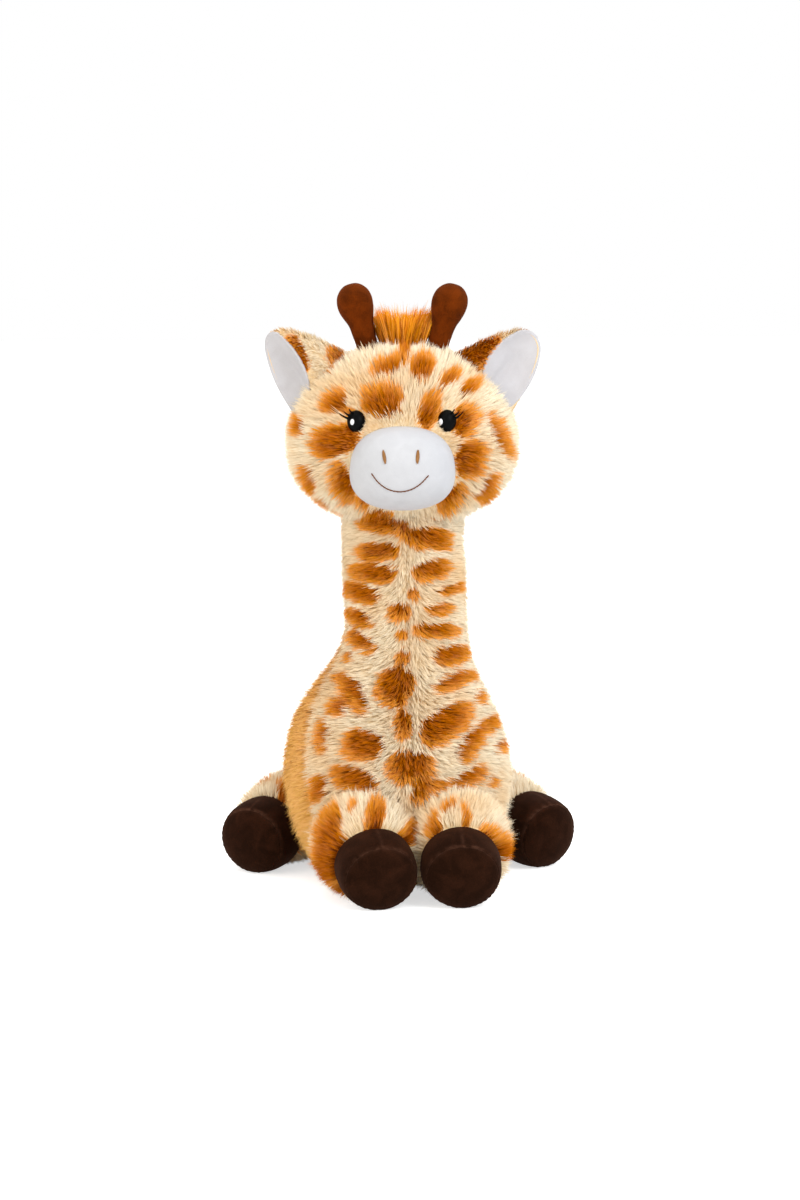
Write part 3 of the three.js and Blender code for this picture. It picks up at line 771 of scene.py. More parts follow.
@dataclass(frozen=True)
class Coat:
    """A spotted coat: the photograph's spots where it shows them, and seeded ones of their kind elsewhere."""

    shown: tuple[Spot, ...]
    seed: int
    reach: float = -0.2
    fade: float = 0.35
    gap: float = 29.0
    radius: float = 12.5
    shown_gap: float = 17.0
    wild: list[tuple[Points, Points, float]] = field(default_factory=list)

    def cover(self, points: Points, normals: Points, lean: Points | None = None) -> Points:
        """Returns the share of the spot colour at each place.

        Args:
            points: Places on the cloth.
            normals: The cloth's normals there.
            lean: The way the pile leans there; none on the bare cloth.

        Returns:
            A share for each place: 0 outside, 0.5 where a spot's pile lies over its edge, 1 further in.
        """
        here = self.depth(points, normals)
        share = ramp(here, -0.8, 0.8)
        if lean is None:
            return share
        ahead = np.full(len(points), OUTSIDE)
        inside = here > -0.8
        ahead[inside] = self.depth(points[inside] + 4.5 * lean[inside], normals[inside])
        return share * (0.5 + 0.5 * ramp(ahead, -2.5, 6.0))

    def depth(self, points: Points, normals: Points) -> Points:
        """Returns how deep each place lies inside a spot, negative outside."""
        wobble = 1.4 * soft_noise(points, 9.0, self.seed + 5) + 0.8 * soft_noise(points, 4.5, self.seed)
        facing = VIEW.facing(normals)
        front = self.shown_depth(points) - 14.0 * np.maximum(self.reach + self.fade - facing, 0.0)
        front = np.where(facing < self.reach, OUTSIDE, front)
        back = np.full(len(points), OUTSIDE)
        for centre, stretch, radius in self.wild:
            away = points - centre
            edge = np.sqrt(dot(away, away) + 0.9 * (away @ stretch) ** 2) / radius
            back = np.maximum(back, (1.0 - edge) * radius)
        back[facing > self.reach + self.fade] = OUTSIDE
        return np.maximum(front, back) + wobble

    def shown_depth(self, points: Points) -> Points:
        """Returns how deep each place lies inside one of the photographed spots."""
        at = VIEW.pixels(points)
        best = np.full(len(points), OUTSIDE)
        for spot in self.shown:
            turn = math.radians(spot.tilt)
            dx, dy = at[:, 0] - spot.x, spot.y - at[:, 1]
            along = (dx * math.cos(turn) + dy * math.sin(turn)) / spot.half_length
            across = (dy * math.cos(turn) - dx * math.sin(turn)) / spot.half_width
            edge = (np.abs(along) ** 2.5 + np.abs(across) ** 2.5) ** 0.4
            best = np.maximum(best, (1.0 - edge) * spot.half_width)
        return best

    def scatter(self, cloth: Piece) -> None:
        """Sets seeded spots on the sides of a cloth that the photograph doesn't show."""
        points, facing = vertex_places(cloth), VIEW.facing(vertex_normals(cloth))
        rng = np.random.default_rng(self.seed + len(self.wild))
        near = points[(self.shown_depth(points) > 0) & (facing > 0.05)]
        far = np.flatnonzero(facing < self.reach)
        for i in far[rng.permutation(len(far))[:3000]]:
            distances = [float(np.linalg.norm(centre - points[i])) for centre, _, _ in self.wild]
            away = min(distances, default=math.inf)
            shown_away = np.linalg.norm(near - points[i], axis=1).min(initial=math.inf)
            if away > self.gap and shown_away > self.shown_gap:
                self.wild.append((points[i], unit(rng.normal(size=3)), self.radius * rng.uniform(0.75, 1.15)))


# Node graphs

class Graph:
    """Adds nodes to a tree and joins them."""

    def __init__(self, tree: bpy.types.NodeTree) -> None:
        """Keeps the tree.

        Args:
            tree: The node tree to build.
        """
        self.tree = tree

    def add(self, kind: str, inputs: dict | None = None, **settings: object) -> bpy.types.Node:
        """Adds a node.

        Args:
            kind: Blender's name of the node, without its prefix.
            inputs: Sockets by name or number, each with a value or a socket to join.
            settings: Properties of the node.

        Returns:
            The node.
        """
        node = self.tree.nodes.new("ShaderNode" + kind)
        for key, value in settings.items():
            setattr(node, key, value)
        self.put(node, inputs or {})
        return node

    def put(self, node: bpy.types.Node, inputs: dict) -> None:
        """Gives a node's own sockets their values, or joins them to other sockets."""
        for key, value in inputs.items():
            if isinstance(value, Socket):
                self.link(value, node.inputs[key])
            else:
                node.inputs[key].default_value = value

    def link(self, start: Socket, end: Socket) -> None:
        """Joins two sockets."""
        self.tree.links.new(start, end)

    def noise(self, place: Socket, scale: object, detail: float = 2.0) -> Socket:
        """Adds a Noise node and returns its value."""
        return self.add("TexNoise", {"Vector": place, "Scale": scale, "Detail": detail}).outputs[0]

    def spread(self, value: Socket, low: float, high: float, start: float, end: float) -> Socket:
        """Adds a clamped Map Range node and returns its output."""
        limits = {"Value": value, 1: low, 2: high, 3: start, 4: end}
        return self.add("MapRange", limits, clamp=True).outputs[0]

    def maths(self, operation: str, a: object, b: object = 0.0, clamp: bool = False) -> Socket:
        """Adds a Math node and returns its output."""
        return self.add("Math", {0: a, 1: b}, operation=operation, use_clamp=clamp).outputs[0]

    def mix(self, share: object, a: object, b: object) -> Socket:
        """Adds a colour Mix node and returns its output."""
        return self.add("Mix", {0: share, 6: a, 7: b}, data_type="RGBA").outputs[2]


def new_group(name: str, inputs: dict[str, object], outputs: dict[str, str]) -> tuple[Graph, dict, dict]:
    """Makes an empty shader node group.

    Args:
        name: Its name.
        inputs: Default value of each input, a number or a colour.
        outputs: Kind of each output, "Color" or "Float".

    Returns:
        Its graph, its input sockets and its output sockets, by name.
    """
    tree = bpy.data.node_groups.new(name, "ShaderNodeTree")
    for key, value in inputs.items():
        kind = "NodeSocketColor" if isinstance(value, tuple) else "NodeSocketFloat"
        tree.interface.new_socket(key, in_out="INPUT", socket_type=kind).default_value = value
    for key, kind in outputs.items():
        tree.interface.new_socket(key, in_out="OUTPUT", socket_type="NodeSocket" + kind)
    enter = tree.nodes.new("NodeGroupInput")
    leave = tree.nodes.new("NodeGroupOutput")
    return Graph(tree), {k: enter.outputs[k] for k in inputs}, {k: leave.inputs[k] for k in outputs}


def pile_tone_group() -> bpy.types.NodeTree:
    """Makes the group that colours long pile by spot, by place along the fibre and by lock; the colour
    deepens toward the root, partly as the fibres' own tone and partly as painted shade deep in the pile.
    """
    graph, enter, leave = new_group(
        "pile_tone",
        {
            "Spot": 0.0, "Along": 0.0, "Shade": 0.5,
            "Ground Root": WHITE, "Ground Tip": WHITE, "Ground Blush": WHITE,
            "Spot Root": WHITE, "Spot Tip": WHITE, "Spot Rim": WHITE, "Variation": 0.3, "Patch Size": 60.0,
        },
        {"Colour": "Color", "Roughness": "Float"},
    )
    place = graph.add("TexCoord").outputs["Object"]
    patch = graph.noise(place, enter["Patch Size"])
    blush = graph.spread(graph.noise(place, 28.0, 1.0), 0.42, 0.72, 0.0, 0.6)
    # Root to tip: the root colours stand partly for the fibres' own tone and partly for painted shade deep in
    # the pile.
    ground = graph.mix(enter["Along"], enter["Ground Root"], enter["Ground Tip"])
    ground = graph.mix(blush, ground, enter["Ground Blush"])
    core = graph.mix(enter["Along"], enter["Spot Root"], enter["Spot Tip"])
    edge = graph.maths("MULTIPLY", enter["Spot"], 2.0, clamp=True)
    inside = graph.maths("SUBTRACT", graph.maths("MULTIPLY", enter["Spot"], 2.0), 1.0, clamp=True)
    both = graph.mix(inside, graph.mix(edge, ground, enter["Spot Rim"]), core)
    swing = graph.maths("MULTIPLY", graph.maths("SUBTRACT", enter["Shade"], 0.5), enter["Variation"])
    swing = graph.maths("ADD", swing, graph.maths("MULTIPLY", graph.maths("SUBTRACT", patch, 0.5), 0.16))
    value = graph.maths("ADD", swing, 1.0)
    warm = graph.maths("SUBTRACT", 1.0, graph.maths("MULTIPLY", swing, 0.5))
    toned = graph.add("HueSaturation", {"Value": value, "Saturation": warm, "Color": both}).outputs[0]
    graph.link(toned, leave["Colour"])
    smooth = graph.maths("MULTIPLY", enter["Along"], 0.2)
    graph.link(graph.maths("SUBTRACT", 0.95, smooth), leave["Roughness"])
    return graph.tree


def short_pile_group() -> bpy.types.NodeTree:
    """Makes the group for short brushed pile: fine grain, brushed patches, their height, and lighter seam
    lines, partly the seams' own paler tone and partly painted highlight.
    """
    graph, enter, leave = new_group(
        "short_pile",
        {
            "Colour": WHITE, "Brushed": WHITE, "Seam Mark Highlight": WHITE,
            "Seam_Mark_And_Highlight": 0.0, "Patch Scale": 90.0, "Grain Scale": 1600.0, "Contrast": 0.6,
        },
        {"Colour": "Color", "Roughness": "Float", "Height": "Float"},
    )
    place = graph.add("TexCoord").outputs["Object"]
    patch = graph.add(
        "TexNoise", {"Vector": place, "Scale": enter["Patch Scale"], "Detail": 3.0, "Distortion": 0.6}
    ).outputs[0]
    grain = graph.noise(place, enter["Grain Scale"])
    brushed = graph.spread(patch, 0.35, 0.7, 0.0, 1.0)
    fleck = graph.spread(grain, 0.3, 0.7, -0.5, 0.5)
    brushed, fleck = graph.maths("MULTIPLY", brushed, enter["Contrast"]), graph.maths("MULTIPLY", fleck, 0.35)
    share = graph.maths("ADD", brushed, fleck, clamp=True)
    toned = graph.mix(share, enter["Colour"], enter["Brushed"])
    # Lighter seam lines, broken up by noise: partly the seams' own paler tone, partly painted highlight.
    mark_breakup = graph.spread(graph.noise(place, 260.0), 0.35, 0.65, 0.15, 1.0)
    seam_mark_highlight = graph.mix(graph.maths("MULTIPLY", mark_breakup, enter["Seam_Mark_And_Highlight"], clamp=True), toned, enter["Seam Mark Highlight"])
    graph.link(seam_mark_highlight, leave["Colour"])
    smooth = graph.maths("MULTIPLY", share, 0.12)
    graph.link(graph.maths("SUBTRACT", 0.96, smooth), leave["Roughness"])
    grain, patch = graph.maths("MULTIPLY", grain, 0.5), graph.maths("MULTIPLY", patch, 0.5)
    graph.link(graph.maths("ADD", grain, patch), leave["Height"])
    return graph.tree


def thread_group() -> bpy.types.NodeTree:
    """Makes the group for embroidery thread: fine strands across the stitch, with painted shade in the
    grooves between them.
    """
    graph, enter, leave = new_group(
        "thread",
        {"Colour": WHITE, "Groove Shade": (0.0, 0.0, 0.0, 1.0), "Strand Scale": 700.0},
        {"Colour": "Color", "Roughness": "Float", "Height": "Float"},
    )
    place = graph.add("TexCoord").outputs["Object"]
    wave = graph.add(
        "TexWave",
        {"Vector": place, "Scale": enter["Strand Scale"], "Distortion": 1.2, "Detail": 1.0},
        wave_type="BANDS", bands_direction="DIAGONAL",
    ).outputs[1]
    # Painted shade: the grooves between strands take the dimmer colour.
    toned = graph.mix(graph.maths("MULTIPLY", wave, 0.7), enter["Groove Shade"], enter["Colour"])
    graph.link(toned, leave["Colour"])
    graph.link(graph.maths("ADD", 0.42, graph.maths("MULTIPLY", wave, 0.2)), leave["Roughness"])
    graph.link(wave, leave["Height"])
    return graph.tree


GROUPS = {"pile_tone": pile_tone_group(), "short_pile": short_pile_group(), "thread": thread_group()}


def new_material(name: str) -> tuple[bpy.types.Material, Graph, bpy.types.Node]:
    """Makes a material with a bare Principled BSDF.

    Args:
        name: Its name.

    Returns:
        The material, its graph and its Principled BSDF.
    """
    material = bpy.data.materials.new(name)
    material.use_nodes = True
    graph = Graph(material.node_tree)
    shader = material.node_tree.nodes["Principled BSDF"]
    shader.inputs["Specular IOR Level"].default_value = 0.05
    return material, graph, shader


def finished(
    name: str,
    kind: str,
    values: dict[str, object],
    looks: dict[str, object],
    marks: Sequence[str] = (),
    bump: Pair | None = None,
) -> bpy.types.Material:
    """Makes a material that takes its colour, roughness and relief from a shader group.

    Args:
        name: Its name.
        kind: The group's name.
        values: The group's numbers, and its colours as six hex digits.
        looks: Constant values of the Principled BSDF's own sockets.
        marks: The values kept on the mesh that the group reads.
        bump: The relief's strength and its depth in metres; none for a smooth one.

    Returns:
        The material.
    """
    material, graph, shader = new_material(name)
    read = {mark.title(): graph.add("Attribute", attribute_name=mark).outputs["Fac"] for mark in marks}
    tones = {key: linear(value) if isinstance(value, str) else value for key, value in values.items()}
    group = graph.add("Group", read | tones, node_tree=GROUPS[kind])
    made = group.outputs
    graph.put(shader, {"Base Color": made["Colour"], "Roughness": made["Roughness"], **looks})
    if bump:
        height = {"Height": made["Height"], "Strength": bump[0], "Distance": bump[1]}
        graph.put(shader, {"Normal": graph.add("Bump", height).outputs[0]})
    return material


@dataclass(frozen=True)
class PileFinish:
    """Long pile: root and tip colours of the ground and of the spots; the deeper root colours are partly the
    fibres' own tone and partly painted shade deep in the pile.
    """

    name: str
    ground_root: str
    ground_tip: str
    blush: str
    spot_root: str
    spot_tip: str
    spot_rim: str
    variation: float = 0.26

    def material(self) -> bpy.types.Material:
        """Returns the finish as a material."""
        values = {
            "Ground Root": self.ground_root, "Ground Tip": self.ground_tip, "Ground Blush": self.blush,
            "Spot Root": self.spot_root, "Spot Tip": self.spot_tip, "Spot Rim": self.spot_rim,
            "Variation": self.variation,
        }
        dull = {"Specular IOR Level": 0.0, "IOR": 1.01}
        return finished(self.name, "pile_tone", values, dull, ("spot", "along", "shade"))


@dataclass(frozen=True)
class ShortPileFinish:
    """Short brushed pile: its colour, the colour where it is brushed up, the lighter colour of its seam lines
    (partly their own paler tone, partly painted highlight), and its sheen.
    """

    name: str
    colour: str
    brushed: str
    seam_mark_highlight: str
    sheen: float
    sheen_tint: str
    bump: float
    contrast: float
    patch: float = 90.0

    def material(self) -> bpy.types.Material:
        """Returns the finish as a material."""
        values = {
            "Colour": self.colour, "Brushed": self.brushed, "Seam Mark Highlight": self.seam_mark_highlight,
            "Contrast": self.contrast, "Patch Scale": self.patch,
        }
        sheen = {"Sheen Weight": self.sheen, "Sheen Tint": linear(self.sheen_tint)}
        return finished(self.name, "short_pile", values, sheen, ("seam_mark_and_highlight",), (self.bump, 0.0006))


@dataclass(frozen=True)
class ThreadFinish:
    """Embroidery thread: its colour, and the dimmer colour between its strands, which is painted shade in the
    grooves.
    """

    name: str
    colour: str
    groove_shade: str
    coat: float = 0.0

    def material(self) -> bpy.types.Material:
        """Returns the finish as a material."""
        values = {"Colour": self.colour, "Groove Shade": self.groove_shade}
        coat = {"Coat Weight": self.coat, "Coat Roughness": 0.25}
        return finished(self.name, "thread", values, coat, (), (0.35, 0.0002))


class Finish(Enum):
    """The toy's finishes, each with the record's material slot it belongs to."""

    # Each long pile's root colours are deeper than its tips: partly the fibres' own tone, partly painted
    # shade deep in the pile.
    SPOTTED = (
        "spotted_fur",
        PileFinish("spotted_pile", "EAD0A2", "F8ECD4", "EAC084", "6A2802", "D2740C", "EFA040"),
    )
    GOLDEN = (
        "golden_fur",
        PileFinish("golden_pile", "DC9A44", "F6C474", "E8AE62", "DC9A44", "F6C474", "F6C474"),
    )
    LONG = "long_fur", PileFinish("long_pile", "B45A06", "FFAE30", "F09620", "8E4606", "F0A830", "F0A830")
    # A short pile's third colour lightens its seam lines: partly their own paler tone, partly painted
    # highlight.
    HOOF = "hoof_fur", ShortPileFinish("hoof_pile", "1A0A03", "341A0D", "5E3E30", 0.08, "C08060", 0.5, 0.5)
    HORN = "horn_fur", ShortPileFinish("horn_pile", "4A1C01", "783203", "A0561E", 0.08, "E09A60", 0.4, 0.6)
    MUZZLE = (
        "white_fur",
        ShortPileFinish("muzzle_pile", "BDBEC2", "C8C9CD", "C8C9CD", 0.05, "FFFFFF", 0.3, 0.5),
    )
    LINING = (
        "lining_fur",
        ShortPileFinish("lining_pile", "BCBABD", "C8C7CB", "D4D2D4", 0.05, "FFFFFF", 0.3, 0.6, 60.0),
    )
    EYE = "eye_thread", ThreadFinish("eye_thread", "030304", "010101", 0.03)
    GLINT = "eye_thread", ThreadFinish("glint_thread", "FFFFFF", "D8D8DC")
    NOSE = "nose_thread", ThreadFinish("nose_thread", "B88A5C", "8A6038")
    SMILE = "smile_thread", ThreadFinish("smile_thread", "8A5A38", "5A3018")

    @property
    def slot(self) -> str:
        """The record's material slot."""
        return self.value[0]


MATERIALS = {finish: finish.value[1].material() for finish in Finish}


def dress(piece: Piece, finish: Finish, body: str, replaces: Sequence[str] = ()) -> Piece:
    """Gives a piece its finish and its body.

    Args:
        piece: The piece.
        finish: Its finish.
        body: The body it rides on.
        replaces: The model's nodes that it stands for.

    Returns:
        The piece.
    """
    piece.data.materials.clear()
    piece.data.materials.append(MATERIALS[finish])
    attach(piece, body)
    if replaces:
        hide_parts(*replaces)
    LOG.info("%s: %d faces on %s", piece.name, len(piece.data.polygons), body)
    return piece


def tone(piece: Piece, coat: Coat | None) -> None:
    """Keeps the coat's spots on a cloth's own vertices, in its fibres' root colours and a little dimmer:
    painted shade on the cloth under the pile.
    """
    count = len(piece.data.vertices)
    cover = coat.cover(vertex_places(piece), vertex_normals(piece)) if coat else np.zeros(count)
    store(piece, "spot", cover)
    # Near-root colour and a lower shade: painted shade on the cloth under the pile.
    store(piece, "along", np.full(count, 0.15))
    store(piece, "shade", np.full(count, 0.45))


# Head

NECK_PIVOT = np.array([1.5, 2.0, 247.0])
HEAD_PLACE = Matrix.Translation(NECK_PIVOT) @ Matrix.Rotation(math.radians(-7.0), 4, "Z")


def under_pixel(tree: BVHTree, x: float, y: float) -> tuple[Points, Points]:
    """Returns the place and normal on a surface under a pixel of the photograph."""
    place, normal = tree.ray_cast(Vector(VIEW.eye()), Vector(VIEW.ray(x, y)))[:2]
    return np.array(place), np.array(normal)


@dataclass
class Head:
    """The head: its cover and pile, its muzzle and its stitched face."""

    height: float = 111.0
    half_width: float = 71.0
    half_depth: float = 56.0
    drop: float = 4.0
    forward: float = 8.0
    neck_radius: float = 37.4
    profile: tuple[Pair, ...] = (
        (0.0, 0.0), (0.035, 0.4), (0.1, 0.65), (0.19, 0.84), (0.31, 0.965), (0.43, 1.0),
        (0.56, 0.98), (0.69, 0.9), (0.81, 0.765), (0.905, 0.585), (0.97, 0.35), (1.0, 0.0),
    )
    rings: int = 56
    sides: int = 96
    seed: int = 101
    muzzle_middle: Triple = (1.0, -57.0, 35.6)
    muzzle_halves: Triple = (34.5, 33.0, 27.5)
    eye_halves: Triple = (6.2, 7.4, 5.2)
    glint_halves: Triple = (1.45, 2.0, 0.45)
    eye_clear: float = 7.3
    lash_offset: Pair = (9.0, 6.0)
    muzzle_clear: float = 1.5
    eye_pixels: tuple[Pair, ...] = ((356.5, 421.6), (447.0, 421.0))
    glint_pixels: tuple[Pair, ...] = ((352.2, 422.0), (440.8, 421.8))
    lash_pixels: tuple[tuple[tuple[float, ...], ...], ...] = (
        ((349.6, 418.6, 339.0, 413.2), (350.6, 415.6, 344.0, 411.6), (353.0, 413.0, 349.0, 409.0)),
        ((453.6, 419.0, 463.2, 412.0), (452.6, 416.2, 459.2, 411.2), (450.6, 413.4, 454.4, 409.2)),
    )
    smile_pixels: tuple[Pair, ...] = (
        (371.7, 473.5), (377.5, 481.5), (386.0, 488.2), (399.2, 491.6), (411.0, 489.5), (420.5, 483.8),
        (428.5, 475.4),
    )
    pile: Pile = field(default_factory=Pile)
    stuffing: Stuffing = Stuffing()
    muzzle_stuffing: Stuffing = Stuffing(cell=3.5, cap=0.8)
    coat: Coat = Coat(HEAD_SPOTS, 11)

    def build(self) -> None:
        """Builds and dresses the whole head."""
        rows = []
        for up, share in self.profile:
            wide, deep = share * self.half_width, share * self.half_depth
            rows.append([up * self.height - self.drop, 0.0, -self.forward, wide, wide, deep, deep])
        points, faces = ring_form(smooth_rows(np.array(rows), self.rings, True, True), self.sides)
        self.cloth = make_object("head_cloth", moved(points, HEAD_PLACE), faces)
        self.stuffing.fill(self.cloth, self.seams)
        self.tree = tree_of(self.cloth)
        self.coat.scatter(self.cloth)
        points, faces = globe(self.muzzle_halves, 44, 72, 2.4)
        points[:, 0] *= 1.0 - 0.055 * points[:, 2] / self.muzzle_halves[2]
        points = moved(points, HEAD_PLACE @ Matrix.Translation(self.muzzle_middle))
        self.muzzle = make_object("muzzle_cloth", points, faces)
        self.muzzle_stuffing.fill(self.muzzle, self.muzzle_seam)
        self.muzzle_tree = tree_of(self.muzzle)
        self.muzzle_at = moved(np.array([self.muzzle_middle]), HEAD_PLACE)[0]
        self.eyes = [under_pixel(self.tree, *pixel) for pixel in self.eye_pixels]
        self.grow_pile()
        tone(self.cloth, self.coat)
        dress(self.cloth, Finish.SPOTTED, "head", ["head_cover", "head_stuffing"])
        dress(self.muzzle, Finish.MUZZLE, "head", ["muzzle_cover", "muzzle_stuffing"])
        self.build_eyes()
        self.build_nose()

    def seams(self, points: Points) -> Points:
        """Returns where the crown's middle seam, the two gusset seams and the neck hold the cloth."""
        local = moved(points, HEAD_PLACE.inverted())
        crown = (np.abs(local[:, 0]) < 2.5) & (local[:, 2] > 60.0)
        gusset = (np.abs(np.abs(local[:, 0]) - 44.0) < 3.0) & (local[:, 1] > -self.forward)
        return (crown | gusset | (local[:, 2] < 14.0)).astype(float)

    def muzzle_seam(self, points: Points) -> Points:
        """Returns where the seam to the face holds the muzzle's cloth."""
        return (depth_in(points, self.tree, 40.0) > -6.0).astype(float)

    def nap(self, points: Points) -> Points:
        """Returns the way the head's pile leans: outward from the face, and down on the back."""
        away = unit(points - self.muzzle_at - 14.0 * UP)
        away[:, 1] += 0.55
        behind = ramp(points[:, 1], -12.0, 22.0)[:, None]
        return away * (1 - behind) - UP * behind

    def grow_pile(self) -> None:
        """Grows the head's pile, short beside the eyes and the muzzle."""
        roots = roots_on(self.cloth, self.pile.density, self.seed)
        points = roots.points
        clear = np.ones(len(points), bool)
        length = np.ones(len(points))
        for sign, (at, _) in zip((-1.0, 1.0), self.eyes):
            gap = np.linalg.norm(points - at, axis=1)
            clear &= gap > self.eye_clear
            length = np.minimum(length, 0.35 + 0.65 * ramp(gap, 8.0, 16.0))
            lashes = [sign * self.lash_offset[0], 0.0, self.lash_offset[1]]
            gap = np.linalg.norm(points - at - lashes, axis=1)
            length = np.minimum(length, 0.5 + 0.5 * ramp(gap, 4.0, 9.0))
        sunk = depth_in(points, self.muzzle_tree, 12.0)
        clear &= sunk < self.muzzle_clear
        length = np.minimum(length, 0.4 + 0.6 * ramp(-sunk, 1.0, 9.0))
        clear &= np.linalg.norm(points - NECK_PIVOT, axis=1) > self.neck_radius - 1.0
        roots, length = roots.only(clear), length[clear]
        nap = self.nap(roots.points)
        grown = grow("head_pile", roots, nap, self.pile, self.coat.cover, self.seed + 1, length)
        dress(grown, Finish.SPOTTED, "head")

    def build_eyes(self) -> None:
        """Builds the eyes with their glints and lashes."""
        back = VIEW.axes()[2]
        marks = zip(("right", "left"), (-1.0, 1.0), self.glint_pixels, self.lash_pixels, self.eyes)
        for name, sign, shine, strands, (at, normal) in marks:
            axis = unit(normal * 0.6 + back * 0.4)
            side = unit(np.cross(UP, axis))
            over = np.cross(axis, side)
            turn = Matrix([[side[i], over[i], axis[i]] for i in range(3)]).to_4x4()
            place = Matrix.Translation(at + axis * 0.2) @ turn
            points, faces = globe(self.eye_halves, 24, 40)
            points[:, 2] = np.where(points[:, 2] < 0, points[:, 2] * 0.35, points[:, 2])
            points[:, 0] += 0.05 * points[:, 1] * sign
            eye = make_object(f"eye_{name}", moved(points, place), faces)
            dress(eye, Finish.EYE, "head", [f"eye_{name}"])
            spot, out = under_pixel(tree_of(eye), *shine)
            points, faces = globe(self.glint_halves, 12, 20)
            glint = Matrix.Translation(spot) @ Vector(out).to_track_quat("Z", "Y").to_matrix().to_4x4()
            dress(make_object(f"eye_{name}_glint", moved(points, glint), faces), Finish.GLINT, "head")
            lashes = []
            for strand in strands:
                t = np.linspace(0, 1, 11)[:, None]
                low = self.level_with(at + axis * 2.6, *strand[:2])
                high = self.level_with(at + axis * 5.4, *strand[2:])
                path = low * (1 - t) + high * t - 1.3 * UP * t * (1 - t) * 2
                lashes.append(tube(path, 1.0 - 0.72 * t[:, 0]))
            dress(make_object(f"eye_{name}_lashes", *joined(lashes)), Finish.EYE, "head")

    def level_with(self, at: Points, x: float, y: float) -> Points:
        """Returns the place under a pixel that is as far from the camera as another place."""
        ray, back = VIEW.ray(x, y), VIEW.axes()[2]
        return VIEW.eye() + ray * (np.dot(at - VIEW.eye(), back) / np.dot(ray, back))

    def stitch(self, ends: Iterable[Pair], count: int, arc: Pair, radii: Pair) -> Mesh:
        """Makes one stitch on the muzzle.

        Args:
            ends: The pixels where it starts and ends.
            count: Points along it.
            arc: Its height at its ends, and what its middle adds.
            radii: Its radius at its ends, and what its middle adds.

        Returns:
            Its points and faces.
        """
        (a, out_a), (b, out_b) = (under_pixel(self.muzzle_tree, *end) for end in ends)
        t = np.linspace(0, 1, count)[:, None]
        path = a * (1 - t) + b * t + (out_a + out_b) / 2 * (arc[0] + arc[1] * np.sin(np.pi * t))
        return tube(path, radii[0] + radii[1] * np.sin(np.pi * t[:, 0]))

    def build_nose(self) -> None:
        """Builds the stitched nostrils and smile."""
        for name, x, y, lean in (("right", 384.3, 457.0, 0.8), ("left", 417.6, 457.0, -0.5)):
            stitches = []
            for k in np.linspace(-1, 1, 15):
                half = 1.5 * math.sqrt(max(0.06, 1 - k * k))
                ends = [(x + side * half + lean * k, y + 6.0 * k + 0.6 * side) for side in (-1, 1)]
                stitches.append(self.stitch(ends, 6, (0.15, 0.75), (0.36, 0.0)))
            dress(make_object(f"nostril_{name}", *joined(stitches)), Finish.NOSE, "head", [f"nostril_{name}"])
        line = smooth_rows(np.array(self.smile_pixels), 61, False, False)
        pairs = [(line[k], line[k + 3]) for k in range(0, 60, 3)]
        stitches = [self.stitch(ends, 7, (0.05, 0.4), (0.28, 0.15)) for ends in pairs]
        dress(make_object("smile_stitches", *joined(stitches)), Finish.SMILE, "head", ["smile_stitch"])


@dataclass
class Horns:
    """The two knobbed horns, each a soft stem that swells outward into a ball."""

    spacing: float = 42.0
    back: float = 4.0
    seat: float = 103.0
    tilt: float = 15.5
    rows: tuple[Triple, ...] = (
        (-9.0, 7.1, 0.0), (4.7, 7.1, 0.0), (16.0, 7.5, 0.0), (25.0, 8.5, 0.0), (30.0, 10.3, 0.1),
        (34.7, 11.7, 0.2), (39.3, 12.1, 0.2), (44.2, 11.1, 0.2), (48.0, 8.6, 0.2), (50.6, 5.2, 0.2),
        (51.5, 0.0, 0.2),
    )

    def build(self) -> None:
        """Builds and dresses both horns."""
        for name, sign in (("left", 1.0), ("right", -1.0)):
            table = np.array([[z, sign * out, 0.0, r, r, r, r] for z, r, out in self.rows])
            points, faces = ring_form(smooth_rows(table, 48, False, True), 48)
            angle = np.arctan2(points[:, 1], points[:, 0] * sign)
            seam = np.exp(-((angle / 0.09) ** 2)) + np.exp(-(((np.abs(angle) - math.pi) / 0.09) ** 2))
            high = ramp(points[:, 2], 20.0, 44.0)
            points[:, :2] *= (1 - 0.035 * seam * high)[:, None]
            points += 0.25 * noise_shifts(points, 9.0, 31)
            place = HEAD_PLACE @ Matrix.Translation((sign * self.spacing / 2, -self.back, self.seat))
            place = place @ Matrix.Rotation(math.radians(sign * self.tilt), 4, "Y")
            horn = make_object(f"horn_{name}", moved(points, place), faces)
            # Lighter seam lines on the ball: partly the seams' own paler tone, partly painted highlight along
            # the seam ridges.
            store(horn, "seam_mark_and_highlight", 0.7 * np.minimum(seam, 1.0) * high)
            dress(horn, Finish.HORN, "head", [f"horn_{name}"])


